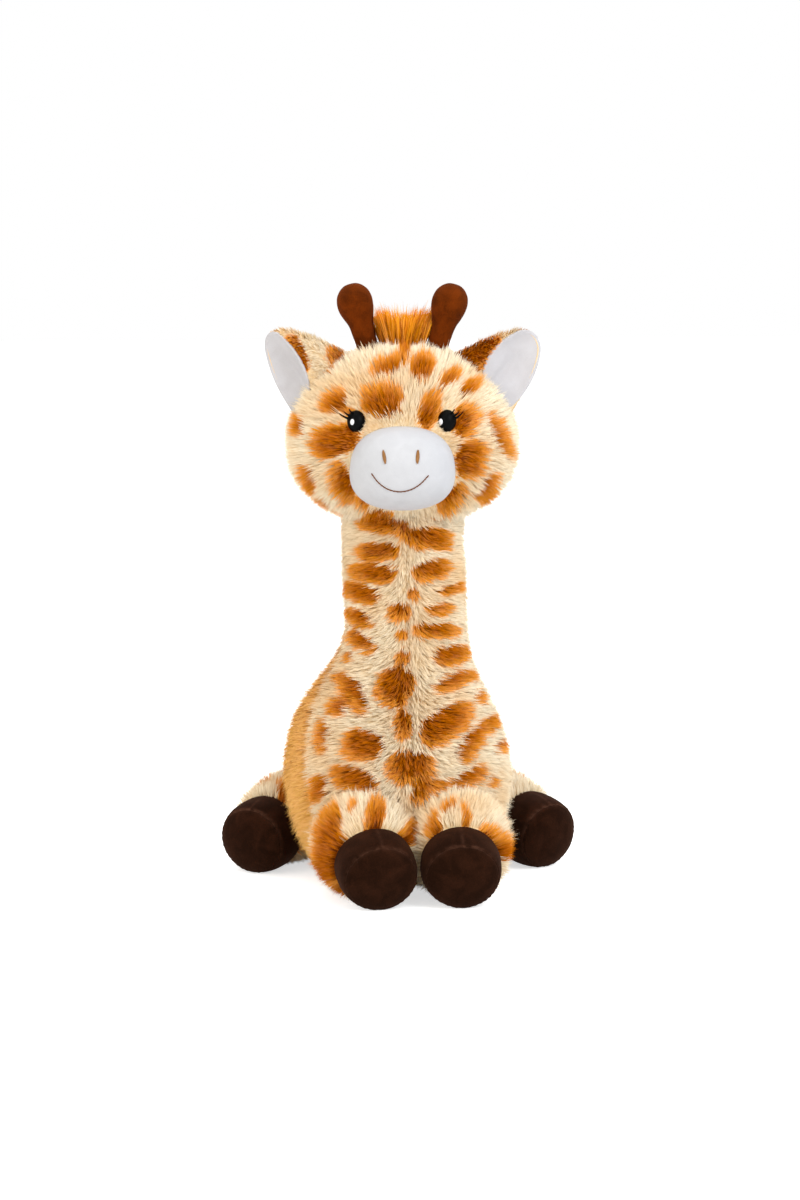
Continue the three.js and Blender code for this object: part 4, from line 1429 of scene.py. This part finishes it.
@dataclass
class Ear:
    """One ear: a soft cup of fur with a white lining, open forward and outward."""

    name: str
    sign: float
    facing: Triple
    offset: float
    across: float = 53.0
    back: float = 8.0
    rise: float = 85.0
    tilt: float = 48.0
    length: float = 49.0
    half_width: float = 26.0
    half_depth: float = 12.0
    leaf: tuple[Triple, ...] = (
        (-0.25, 0.95, 0.8), (0.0, 1.0, 1.0), (0.27, 0.88, 1.0), (0.53, 0.72, 0.86),
        (0.76, 0.53, 0.64), (0.92, 0.34, 0.42), (1.0, 0.0, 0.0),
    )
    wall: float = 1.2
    hollow: float = 6.0
    rim: float = 1.1
    coat: Coat = Coat(EAR_SPOTS, 53, gap=24.0, radius=9.0)
    seed: int = 400
    pile: Pile = Pile(length=5.0, rise=66.0, lay=26.0, width=0.45, density=2.2, lock=2.4)

    def build(self, head: Head) -> None:
        """Builds and dresses the ear.

        Args:
            head: The head, under whose cloth no pile grows.
        """
        body = f"ear_{self.name}"
        place = HEAD_PLACE @ Matrix.Translation((self.sign * self.across, -self.back, self.rise))
        place = place @ Matrix.Rotation(math.radians(self.sign * self.tilt), 4, "Y")
        facing = unit(np.array([self.facing[0] * self.sign, *self.facing[1:]]))
        fur, loop = self.cup(facing)
        lining = make_object(f"ear_{self.name}_lining", *self.panel(loop, facing))
        local = roots_on(fur, self.pile.density, self.seed)
        below = self.offset - dot(local.points, facing)
        away = local.points / np.array([self.half_width, self.half_depth, self.length]) ** 2
        roots = Roots(moved(local.points, place), unit(local.normals @ np.array(place)[:3, :3].T))
        keep = (dot(away, local.normals) > 0) & (below > 0.6)
        keep &= depth_in(roots.points, head.tree, 12.0) < 0.5
        outer = ramp(local.points[:, 0] * self.sign, 2.0, 12.0) * (1 - ramp(below, 2.0, 14.0))
        length = (0.4 + 0.6 * ramp(below, 0.0, 8.0)) * (1 - 0.75 * outer)
        inner = ramp(-local.points[:, 0] * self.sign, 2.0, 12.0) * (1 - ramp(below, 3.0, 12.0))
        length = np.maximum(length, 0.95 * inner)
        roots, length, inner = roots.only(keep), length[keep], inner[keep][:, None]
        nap = UP + 0.4 * facing + inner * (0.9 * facing + [0.9 * self.sign, 0.0, -0.5])
        nap = nap @ np.array(place)[:3, :3].T
        for layer in (fur, lining):
            set_places(layer, moved(vertex_places(layer), place))
        self.coat.scatter(fur)
        grown = grow(f"{body}_pile", roots, nap, self.pile, self.coat.cover, self.seed + 1, length)
        dress(grown, Finish.SPOTTED, body)
        tone(fur, self.coat)
        dress(fur, Finish.SPOTTED, body, [f"ear_{self.name}_fur"])
        dress(lining, Finish.LINING, body, [f"ear_{self.name}_lining"])

    def cup(self, facing: Points) -> tuple[Piece, Points]:
        """Makes the ear's furred back around its own root.

        Args:
            facing: The way the opening looks.

        Returns:
            The back as a thin cup, and the opening's edge.
        """
        rows = []
        for along, wide, deep in self.leaf:
            a, b = self.half_width * wide, self.half_depth * deep
            rows.append([along * self.length, 0.0, 0.0, a, a, b, b])
        points, faces = ring_form(smooth_rows(np.array(rows), 60, False, True), 72)
        layer = make_object(f"ear_{self.name}_cloth", points, faces)
        made = bmesh.new()
        made.from_mesh(layer.data)
        everything = made.verts[:] + made.edges[:] + made.faces[:]
        plane = {"plane_co": Vector(facing * self.offset * METRES), "plane_no": Vector(facing)}
        bmesh.ops.bisect_plane(made, geom=everything, clear_outer=True, **plane)
        edge = np.array([list(v.co / METRES) for v in made.verts if v.is_boundary])
        made.to_mesh(layer.data)
        made.free()
        thick = layer.modifiers.new("wall", "SOLIDIFY")
        thick.thickness, thick.offset = self.wall * METRES, -1.0
        return applied(layer), edge

    def panel(self, edge: Points, facing: Points) -> Mesh:
        """Makes the lining: a shallow soft hollow with a turned edge.

        Args:
            edge: Points on the opening's edge.
            facing: The way the opening looks.

        Returns:
            Its points and faces.
        """
        across = unit(np.cross(facing, UP))
        along = np.cross(facing, across)
        middle = (edge.max(axis=0) + edge.min(axis=0)) / 2
        away = edge - middle
        angles = np.arctan2(dot(away, along), dot(away, across))
        reach = np.linalg.norm(np.stack([dot(away, along), dot(away, across)]), axis=0)
        order = np.argsort(angles)
        even = np.linspace(-math.pi, math.pi, 97)[:-1]
        radius = np.interp(even, angles[order], reach[order], period=2 * math.pi)
        spokes = np.cos(even)[:, None] * across + np.sin(even)[:, None] * along
        shares = np.concatenate([np.linspace(0.04, 1.0, 26), [1.0, 1.0, 1.0], np.linspace(0.97, 0.06, 12)])
        roll = np.concatenate([np.zeros(24), [0.2, 0.6, 1.0, 1.0, 0.5], np.zeros(12)]) * self.rim
        lift = -self.hollow * (1 - shares**2) + 0.5
        lift[26:29] = [0.0, -self.rim, -1.6 * self.rim]
        lift[29:] -= 2.2 * self.rim
        rings = []
        for share, out, up in zip(shares, roll, lift):
            ring = middle + spokes * (radius * share + out)[:, None] + facing * up
            beside = dot(ring - middle, across) * self.sign / 3.2 - 0.6
            fold = 2.2 * np.exp(-(beside**2)) * ramp(-ring[:, 2], -40.0, 0.0)
            soft = 0.9 * soft_noise(ring, 13.0, 77)
            rings.append(ring + facing * ((1 - share**3) * (soft - fold))[:, None])
        points = np.vstack([*rings, rings[0].mean(axis=0), rings[-1].mean(axis=0)])
        sides, count = len(even), len(rings)
        faces: Faces = []
        for k in range(sides):
            after = (k + 1) % sides
            faces.append((count * sides, k, after))
            faces.append((count * sides + 1, (count - 1) * sides + after, (count - 1) * sides + k))
            for i in range(count - 1):
                faces.append((i * sides + k, (i + 1) * sides + k, (i + 1) * sides + after, i * sides + after))
        if np.dot(np.cross(spokes[0], spokes[1]), facing) < 0:
            faces = [face[::-1] for face in faces]
        return points, faces


def snapped(points: Points, tree: BVHTree) -> Roots:
    """Returns roots on a surface nearest to some points."""
    found = [tree.find_nearest(point)[:2] for point in points.tolist()]
    return Roots(np.array([list(f[0]) for f in found]), np.array([list(f[1]) for f in found]))


@dataclass
class Manes:
    """The long-fibred tuft and crest on the head, and the short mane down the neck."""

    tuft_fibres: int = 4600
    crest_fibres: int = 3000
    neck_fibres: int = 5200
    half_width: float = 12.5
    neck_half: float = 8.5
    seed: int = 500
    tuft: Pile = Pile(
        length=28.0, spread=0.3, rise=84.0, lay=66.0, width=0.6, lock=4.2, gather=0.6, tangle=11.0, steps=5
    )
    crest: Pile = Pile(
        length=19.0, spread=0.3, rise=80.0, lay=48.0, width=0.8, lock=4.0, gather=0.45, tangle=12.0, steps=4
    )
    neck: Pile = Pile(
        length=13.0, spread=0.3, rise=76.0, lay=40.0, width=0.9, lock=4.0, gather=0.5, tangle=14.0, steps=3
    )

    def build(self, head: Head, body_tree: BVHTree) -> None:
        """Builds and dresses the manes.

        Args:
            head: The head that the tuft and the crest stand on.
            body_tree: The body's surface, under the neck's mane.
        """
        rng = np.random.default_rng(self.seed)
        for name, nodes, count, start, end, wide, backward, pile in (
            ("head_mane", ["head_mane"], self.tuft_fibres, -0.02, 0.18, self.half_width, 0.25, self.tuft),
            ("head_crest", [], self.crest_fibres, 0.16, 1.25, self.half_width * 0.7, 1.0, self.crest),
        ):
            lean = rng.uniform(start, end, count) * math.pi / 2
            across = rng.uniform(-1, 1, count) * wide
            local = np.stack([across, 58 * np.sin(lean) - head.forward, 44 + 60 * np.cos(lean)], axis=1)
            roots = snapped(moved(local, HEAD_PLACE), head.tree)
            side = np.array(HEAD_PLACE)[:3, 0]
            nap = side * (across / wide * 1.6)[:, None] + np.array([0.0, backward, 0.1])
            fibres = grow(name, roots, nap, pile, None, self.seed + 1)
            dress(fibres, Finish.LONG, "head", nodes)
        z = rng.uniform(114.0, 234.0, self.neck_fibres)
        rise = ramp(z, 112.0, 150.0)
        across = rng.uniform(-1, 1, self.neck_fibres) * self.neck_half * (0.25 + 0.75 * rise)
        roots = snapped(np.stack([across + 1.5, np.full(len(z), 75.0), z], axis=1), body_tree)
        nap = np.stack([across / self.neck_half * 0.7, np.zeros(len(z)), np.full(len(z), -1.0)], axis=1)
        fibres = grow("neck_mane", roots, nap, self.neck, None, self.seed + 2, 0.6 + 0.4 * rise)
        dress(fibres, Finish.LONG, "body", ["neck_mane"])


@dataclass
class Tail:
    """The tail: a thin furry tube with a long tuft."""

    root: Triple = (0.0, 70.0, 42.0)
    drop: float = 24.0
    length: float = 46.0
    start_radius: float = 6.6
    end_radius: float = 4.0
    tuft_length: float = 15.0
    tuft_density: float = 3.4
    seed: int = 601
    pile: Pile = Pile(length=4.5, rise=55.0, lay=16.0, width=0.7, density=1.0, lock=3.0)
    tuft: Pile = Pile(
        length=23.0, spread=0.25, rise=48.0, lay=16.0, width=0.95, lock=4.0, gather=0.5, tangle=8.0, steps=4
    )

    def build(self) -> None:
        """Builds and dresses the tail."""
        place = Matrix.Translation(self.root) @ Matrix.Rotation(math.radians(-90.0 - self.drop), 4, "X")
        ahead = np.array(place)[:3, 2]
        t = np.linspace(0.0, 1.0, 22)
        radii = self.start_radius + (self.end_radius - self.start_radius) * t
        profile = [(-6.0, 0.0), *zip(-6.0 + (self.length + 5.0) * t, radii), (self.length, 0.0)]
        points, faces = ring_form(spun_rows(profile), 32)
        cloth = make_object("tail_cloth", moved(points, place), faces)
        roots = roots_on(cloth, self.pile.density, self.seed)
        roots = roots.only(dot(roots.points - np.array(self.root), ahead) > 1.0)
        nap = np.tile(ahead, (len(roots.points), 1))
        grown = grow("tail_pile", roots, nap, self.pile, None, self.seed + 1)
        dress(grown, Finish.GOLDEN, "tail")
        tone(cloth, None)
        dress(cloth, Finish.GOLDEN, "tail", ["tail_cover"])
        roots = roots_on(cloth, self.tuft_density, self.seed + 2)
        roots = roots.only(dot(roots.points - np.array(self.root), ahead) > self.length - self.tuft_length)
        nap = np.tile(ahead, (len(roots.points), 1))
        fibres = grow("tail_tuft", roots, nap, self.tuft, None, self.seed + 3)
        dress(fibres, Finish.LONG, "tail", ["tail_tuft"])


# Body

@dataclass
class Body:
    """The pear of the body with its long neck, in a seat, a back and two chest panels."""

    right_seam: tuple[Pair, ...] = ((20.0, -44.0), (52.0, -38.0), (96.0, -28.0), (160.0, 4.0), (200.0, 8.0))
    left_seam: tuple[Pair, ...] = ((20.0, -8.0), (52.0, 0.0), (96.0, 4.0), (160.0, 10.0), (200.0, 12.0))
    nodes: tuple[str, ...] = (
        "body_stuffing", "pellet_bag", "chest_panel_left", "chest_panel_right", "back_panel", "base_panel",
    )
    seat_seam: float = 9.0
    rows: tuple[tuple[float, ...], ...] = (
        (0.3, 0.0, 0.0, 0.0, 0.0, 0.0, 0.0), (0.4, 0.0, 0.0, 30.0, 30.0, 36.0, 36.0),
        (3.0, 0.0, 0.0, 43.0, 42.0, 47.6, 47.6), (11.1, 0.0, 0.0, 53.0, 52.0, 58.8, 58.8),
        (24.7, 0.0, 0.0, 61.0, 59.0, 67.2, 67.2), (40.8, 0.0, 0.0, 67.0, 64.0, 70.0, 70.0),
        (59.3, 0.0, 0.0, 70.5, 67.0, 69.0, 69.5), (81.5, 0.0, 0.2, 71.5, 67.0, 65.1, 66.5),
        (98.8, 0.0, 0.3, 68.5, 63.0, 60.2, 62.0), (113.6, 0.5, 0.4, 62.5, 56.5, 54.6, 56.0),
        (128.4, 1.0, 0.4, 53.5, 49.0, 48.3, 49.0), (145.7, 2.5, 0.5, 42.5, 40.0, 42.7, 43.0),
        (168.0, 3.5, 0.6, 37.0, 36.5, 39.6, 39.6), (197.6, 2.3, 1.0, 36.8, 36.5, 37.8, 37.8),
        (228.0, 1.5, 1.5, 36.9, 36.6, 37.0, 37.0), (247.0, 1.5, 2.0, 37.0, 37.0, 37.0, 37.0),
        (265.5, 1.5, 2.0, 32.0, 32.0, 32.0, 32.0), (279.0, 1.5, 2.0, 18.5, 18.5, 18.5, 18.5),
        (284.0, 1.5, 2.0, 0.0, 0.0, 0.0, 0.0),
    )
    rings: int = 96
    sides: int = 112
    floor: float = 0.3
    seed: int = 201
    blend_from: float = 222.0
    blend_to: float = 266.0
    pile_top: float = 262.0
    leg_clear: float = 2.0
    pile: Pile = field(default_factory=Pile)
    stuffing: Stuffing = Stuffing()
    coat: Coat = Coat(CHEST_SPOTS, 23)

    def build(self, others: Sequence[BVHTree]) -> None:
        """Builds and dresses the body's cloth and pile.

        Args:
            others: The legs' surfaces, under which no pile grows.
        """
        points, faces = ring_form(smooth_rows(np.array(self.rows), self.rings, False, True), self.sides)
        points = above(points, self.floor)
        self.cloth = make_object("body_cloth", points, faces)
        self.stuffing.fill(self.cloth, self.seams)
        set_places(self.cloth, above(vertex_places(self.cloth), self.floor))
        self.coat.scatter(self.cloth)
        roots = roots_on(self.cloth, self.pile.density, self.seed)
        roots = roots.only(roots.points[:, 2] < self.pile_top)
        clear = np.ones(len(roots.points), bool)
        for tree in others:
            clear &= depth_in(roots.points, tree, 14.0) < self.leg_clear
        roots = roots.only(clear)
        tone(self.cloth, self.coat)
        self.finish_panel(self.cloth, Finish.SPOTTED)
        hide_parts(*self.nodes)
        x, y, z = roots.points.T
        seat = z < self.seat_seam
        rear = ~seat & (y > self.seam_at(roots.points))
        chest = ~seat & ~rear
        for name, mask, finish in (
            ("chest_left_pile", chest & (x >= 0), Finish.SPOTTED),
            ("chest_right_pile", chest & (x < 0), Finish.SPOTTED),
            ("back_pile", rear, Finish.GOLDEN),
            ("seat_pile", seat, Finish.GOLDEN),
        ):
            part = roots.only(mask)
            cover = self.coat.cover if finish is Finish.SPOTTED else None
            nap, length = self.nap(part.points), self.length_at(part.points)
            made = grow(name, part, nap, self.pile, cover, self.seed + 9, length)
            self.finish_panel(made, finish)

    def finish_panel(self, piece: Piece, finish: Finish) -> None:
        """Gives a piece of the body its finish and bakes its place into its mesh."""
        piece.data.materials.append(MATERIALS[finish])
        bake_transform(piece)
        LOG.info("%s: %d faces between body and head", piece.name, len(piece.data.polygons))

    def seams(self, points: Points) -> Points:
        """Returns where the front, side and seat seams and the neck's top hold the cloth."""
        x, y, z = points.T
        front = (np.abs(x - 1.5) < 3.0) & (y < 0)
        side = np.abs(y - self.seam_at(points)) < 3.0
        return (front | side | (z < self.seat_seam) | (z > 225.0)).astype(float)

    def seam_at(self, points: Points) -> Points:
        """Returns how far back the side seam runs on each point's own side, at its height."""
        left, right = (np.interp(points[:, 2], *zip(*seam)) for seam in (self.left_seam, self.right_seam))
        return np.where(points[:, 0] > 0, left, right)

    def nap(self, points: Points) -> Points:
        """Returns the way the body's pile leans: down, and outward from the front seam."""
        x, y, z = points.T
        front = ramp(-y, -10.0, 25.0)
        out = np.sign(x) * ramp(np.abs(x - 2.0), 1.0, 16.0) * front
        down = -0.85 + 0.35 * ramp(z, 150.0, 210.0) + 0.4 * front * ramp(np.abs(x), 10.0, 30.0)
        return np.stack([out, 0.35 * front * np.abs(out), down], axis=1)

    def length_at(self, points: Points) -> Points:
        """Returns the pile's length factor: parted at the seams and short under the seat."""
        x, y, z = points.T
        middle = np.where(y < 0, np.abs(x - 1.0), 99.0)
        side = np.abs(y - self.seam_at(points))
        parted = 0.6 + 0.4 * ramp(np.minimum(middle, side), 0.3, 3.0)
        return parted * (0.35 + 0.65 * ramp(z, 2.0, 14.0)) * (1.0 - 0.22 * ramp(z, 140.0, 175.0))


# Legs

@dataclass
class Leg:
    """One leg: furry cover, and a hoof of a band and a sole."""

    name: str
    joint: Triple
    pitch: float
    yaw: float
    root: float
    ankle: float
    reach: float = 24.0
    hoof_radius: float = 26.5
    hoof_length: float = 33.0
    hoof_flat: float = 0.95
    hoof_floor: float = 0.15
    floor: float = 2.0
    seed: int = 300
    pile: Pile = field(default_factory=lambda: Pile(length=9.5, rise=78.0, lay=50.0, tangle=13.0))
    stuffing: Stuffing = Stuffing(cell=4.0, cap=1.2)

    def place(self) -> Matrix:
        """Returns the leg's place and turn."""
        yaw = Matrix.Rotation(math.radians(self.yaw), 4, "Z")
        return Matrix.Translation(self.joint) @ (yaw @ Matrix.Rotation(math.radians(90 + self.pitch), 4, "X"))

    def make_cloth(self) -> BVHTree:
        """Makes the leg's cloth and returns its surface."""
        root, ankle, reach = self.root, self.ankle, self.reach
        ball = ((-1.0, 0.0), (-0.92, 0.38), (-0.7, 0.71), (-0.35, 0.935), (0.0, 1.0), (0.4, 0.925))
        profile = [(up * root, wide * root) for up, wide in ball]
        profile.append((0.4 * root + (reach - 0.4 * root) * 0.5, ankle + (0.925 * root - ankle) * 0.35))
        profile += [(reach, ankle), (reach + 2.5, ankle - 2.0), (reach + 4.0, 0.0)]
        points, faces = ring_form(smooth_rows(spun_rows(profile), 44, True, False), 64)
        points = moved(points, self.place())
        self.cloth = make_object(f"{self.name}_cloth", above(points, self.floor), faces)
        self.stuffing.fill(self.cloth, self.seams)
        set_places(self.cloth, above(vertex_places(self.cloth), self.floor))
        self.tree = tree_of(self.cloth)
        return self.tree

    def seams(self, points: Points) -> Points:
        """Returns where the cuff and the seam under the leg hold the cloth."""
        local = moved(points, self.place().inverted())
        under = (np.abs(local[:, 0]) < 2.5) & (local[:, 1] < 0)
        return ((local[:, 2] > self.reach - 3.0) | under).astype(float)

    def build(self, coat: Coat) -> None:
        """Builds and dresses the leg.

        Args:
            coat: The legs' spots.
        """
        body = f"{self.name}_leg"
        self.build_hoof(body)
        coat.scatter(self.cloth)
        roots = roots_on(self.cloth, self.pile.density, self.seed)
        local = moved(roots.points, self.place().inverted())
        clear = local[:, 2] < self.reach + 1.5
        roots, local = roots.only(clear), local[clear]
        back = np.array(self.place())[:3, 2] * -1.0
        behind = ramp(-local[:, 2], 2.0, 16.0)[:, None]
        nap = (back + 0.25 * UP) * (1 - behind) - UP * behind
        length = 0.9 + 0.1 * ramp(self.reach - local[:, 2], -1.0, 7.0)
        length *= 0.45 + 0.55 * ramp(roots.points[:, 2], 2.0, 12.0)
        grown = grow(f"{self.name}_pile", roots, nap, self.pile, coat.cover, self.seed + 1, length)
        dress(grown, Finish.SPOTTED, body)
        tone(self.cloth, coat)
        dress(self.cloth, Finish.SPOTTED, body, [f"{self.name}_leg_cover", f"{self.name}_leg_stuffing"])

    def build_hoof(self, body: str) -> None:
        """Builds the hoof's band, sole and seam.

        Args:
            body: The body they ride on.
        """
        start, length, full = self.reach, self.hoof_length, self.hoof_radius
        seam_at, seam_radius = start + 0.77 * length, 0.885 * full
        middle = ((0.12, 0.985), (0.36, 1.0), (0.58, 0.975))
        band = [(start - 5.0, 0.0), (start - 5.0, 0.86 * full), (start - 1.0, 0.93 * full)]
        band += [(start + up * length, wide * full) for up, wide in middle]
        band += [(seam_at - 2.2, seam_radius + 1.3), (seam_at - 0.5, seam_radius + 0.7)]
        band += [(seam_at + 0.1, seam_radius - 0.6), (seam_at - 1.5, 0.0)]
        sole = [(seam_at - 1.2, 0.0), (seam_at - 0.8, seam_radius - 1.4), (seam_at + 0.5, seam_radius + 0.1)]
        sole += [(seam_at + 2.4, seam_radius - 1.9)]
        sole += [(seam_at + up, wide * seam_radius) for up, wide in ((4.8, 0.76), (6.6, 0.5), (7.4, 0.25))]
        sole += [(start + length, 0.0)]
        for part, profile, rings, node in (("band", band, 56, "hoof_band"), ("sole", sole, 40, "hoof_sole")):
            points, faces = ring_form(smooth_rows(spun_rows(profile), rings, False, part == "sole"), 80)
            angle = np.arctan2(points[:, 1], points[:, 0])
            pucker = 0.28 * np.sin(34 * angle + 3 * soft_noise(points, 12.0, self.seed))
            pucker = pucker * np.exp(-(((points[:, 2] - seam_at) / 2.4) ** 2))
            points[:, :2] *= (1 + pucker / seam_radius)[:, None] * [1.0, self.hoof_flat]
            points += 0.35 * noise_shifts(points, 13.0, self.seed + 60)
            # Lighter seam lines, the ring at the sole's seam and a line down the band's middle: partly the
            # seams' own paler tone, partly painted highlight where the seam ridge catches the light.
            ring = np.exp(-(((points[:, 2] - seam_at) / 0.9) ** 2))
            seam_mark_and_highlight = 0.55 * ring + (0.22 if part == "band" else 0.0) * np.exp(-((points[:, 0] / 0.6) ** 2))
            points = moved(points, self.place())
            # Painted light from above: the seam lines fade toward the bottom of the hoof.
            seam_mark_and_highlight *= 0.25 + 0.75 * ramp(points[:, 2], self.joint[2] - 6.0, self.joint[2] + 14.0)
            piece = make_object(f"{self.name}_{node}", above(points, self.hoof_floor), faces)
            store(piece, "seam_mark_and_highlight", np.minimum(seam_mark_and_highlight, 1.0))
            dress(piece, Finish.HOOF, body, [f"{self.name}_{node}"])


@dataclass
class Legs:
    """The four legs of the seated toy."""

    coat: Coat = Coat(LEG_SPOTS, 37, gap=26.0, radius=11.0)

    def make(self) -> list[Leg]:
        """Returns the legs with their cloth made."""
        legs = [
            Leg("front_left", (30.7, -68.0, 34.572), 15.0, -3.0, 29.5, 25.0, seed=310),
            Leg("front_right", (-30.7, -68.0, 34.572), 15.0, 7.0, 29.5, 25.0, seed=320),
            Leg("hind_left", (71.0, 48.0, 30.236), 8.0, 34.0, 26.0, 22.5, 29.5, hoof_length=34.5, seed=330),
            Leg("hind_right", (-71.0, 48.0, 30.236), 8.0, -35.0, 26.0, 22.5, 28.0, seed=340),
        ]
        for leg in legs:
            leg.make_cloth()
        return legs


# Stage

@dataclass(frozen=True)
class Studio:
    """A plain pale floor and soft lamps."""

    floor_half: float = 6.0
    world_level: float = 0.78
    key: float = 28.0
    fill: float = 16.0
    top: float = 7.0
    rear: float = 9.0
    aim: float = 0.2
    paper: float = 0.86
    paper_glow: float = 0.62

    def build(self) -> None:
        """Builds the floor, the lamps and the world."""
        self.build_floor()
        self.build_world()
        self.lamp("key_lamp", (1.1, -1.5, 1.5), self.key, 1.1, (0.97, 0.985, 1.0))
        self.lamp("fill_lamp", (-1.5, -1.3, 0.9), self.fill, 1.3, (1.0, 0.92, 0.78))
        self.lamp("top_lamp", (0.0, 0.2, 1.8), self.top, 1.4, (1.0, 1.0, 1.0))
        self.lamp("back_lamp", (0.7, 1.8, 1.2), self.rear, 1.4, (1.0, 0.98, 0.95))
        bpy.context.scene.view_settings.view_transform = "Standard"

    def seen(self, graph: Graph) -> Socket:
        """Returns a mask of what the camera, mirrors and glass see."""
        path = graph.add("LightPath")
        rays = graph.maths("ADD", path.outputs["Is Camera Ray"], path.outputs["Is Glossy Ray"])
        return graph.maths("ADD", rays, path.outputs["Is Transmission Ray"], clamp=True)

    def build_floor(self) -> None:
        """Builds the floor, white to the camera but for the toy's shadow."""
        corners = np.array([[-1, -1, 0], [1, -1, 0], [1, 1, 0], [-1, 1, 0]]) * self.floor_half / METRES
        floor = make_object("floor", corners, [(0, 1, 2, 3)])
        material, graph, shader = new_material("floor_paper")
        graph.put(shader, {"Base Color": (self.paper, self.paper, self.paper, 1.0), "Roughness": 0.9})
        glow = graph.add("Emission", {"Color": WHITE, "Strength": self.paper_glow})
        shown = graph.add("AddShader", {0: shader.outputs[0], 1: glow.outputs[0]})
        mixed = graph.add("MixShader", {0: self.seen(graph), 1: shader.outputs[0], 2: shown.outputs[0]})
        graph.put(graph.tree.nodes["Material Output"], {"Surface": mixed.outputs[0]})
        floor.data.materials.append(material)

    def build_world(self) -> None:
        """Builds the world: white to the camera, and a soft even light on the toy."""
        world = bpy.data.worlds.new("studio")
        world.use_nodes = True
        graph = Graph(world.node_tree)
        soft = world.node_tree.nodes["Background"]
        graph.put(soft, {"Color": WHITE, "Strength": self.world_level})
        plain = graph.add("Background", {"Color": WHITE, "Strength": 1.0})
        mixed = graph.add("MixShader", {0: self.seen(graph), 1: soft.outputs[0], 2: plain.outputs[0]})
        graph.put(world.node_tree.nodes["World Output"], {"Surface": mixed.outputs[0]})
        bpy.context.scene.world = world

    def lamp(self, name: str, at: Triple, watts: float, size: float, colour: Triple) -> None:
        """Adds a soft lamp that looks at the toy.

        Args:
            name: Its name.
            at: Its place in metres.
            watts: Its power.
            size: Its width in metres.
            colour: Its colour.
        """
        data = bpy.data.lights.new(name, "AREA")
        data.energy, data.size, data.color = watts, size, colour
        lamp = bpy.data.objects.new(name, data)
        lamp.location = at
        toy = Vector((0.0, 0.0, self.aim))
        lamp.rotation_euler = (toy - Vector(at)).to_track_quat("-Z", "Y").to_euler()
        bpy.context.scene.collection.objects.link(lamp)


def main() -> None:
    """Builds the toy in order."""
    logging.basicConfig(level=logging.INFO, format="%(message)s")
    VIEW.make_camera()
    Studio().build()
    legs = Legs()
    made = legs.make()
    head = Head()
    head.build()
    Horns().build()
    for ear in (Ear("left", 1.0, (0.21, -0.93, 0.29), 11.8), Ear("right", -1.0, (0.47, -0.82, 0.32), 14.6)):
        ear.build(head)
    body = Body()
    body.build([leg.tree for leg in made])
    Manes().build(head, tree_of(body.cloth))
    Tail().build()
    for leg in made:
        leg.build(legs.coat)


if __name__ == "__main__":
    main()
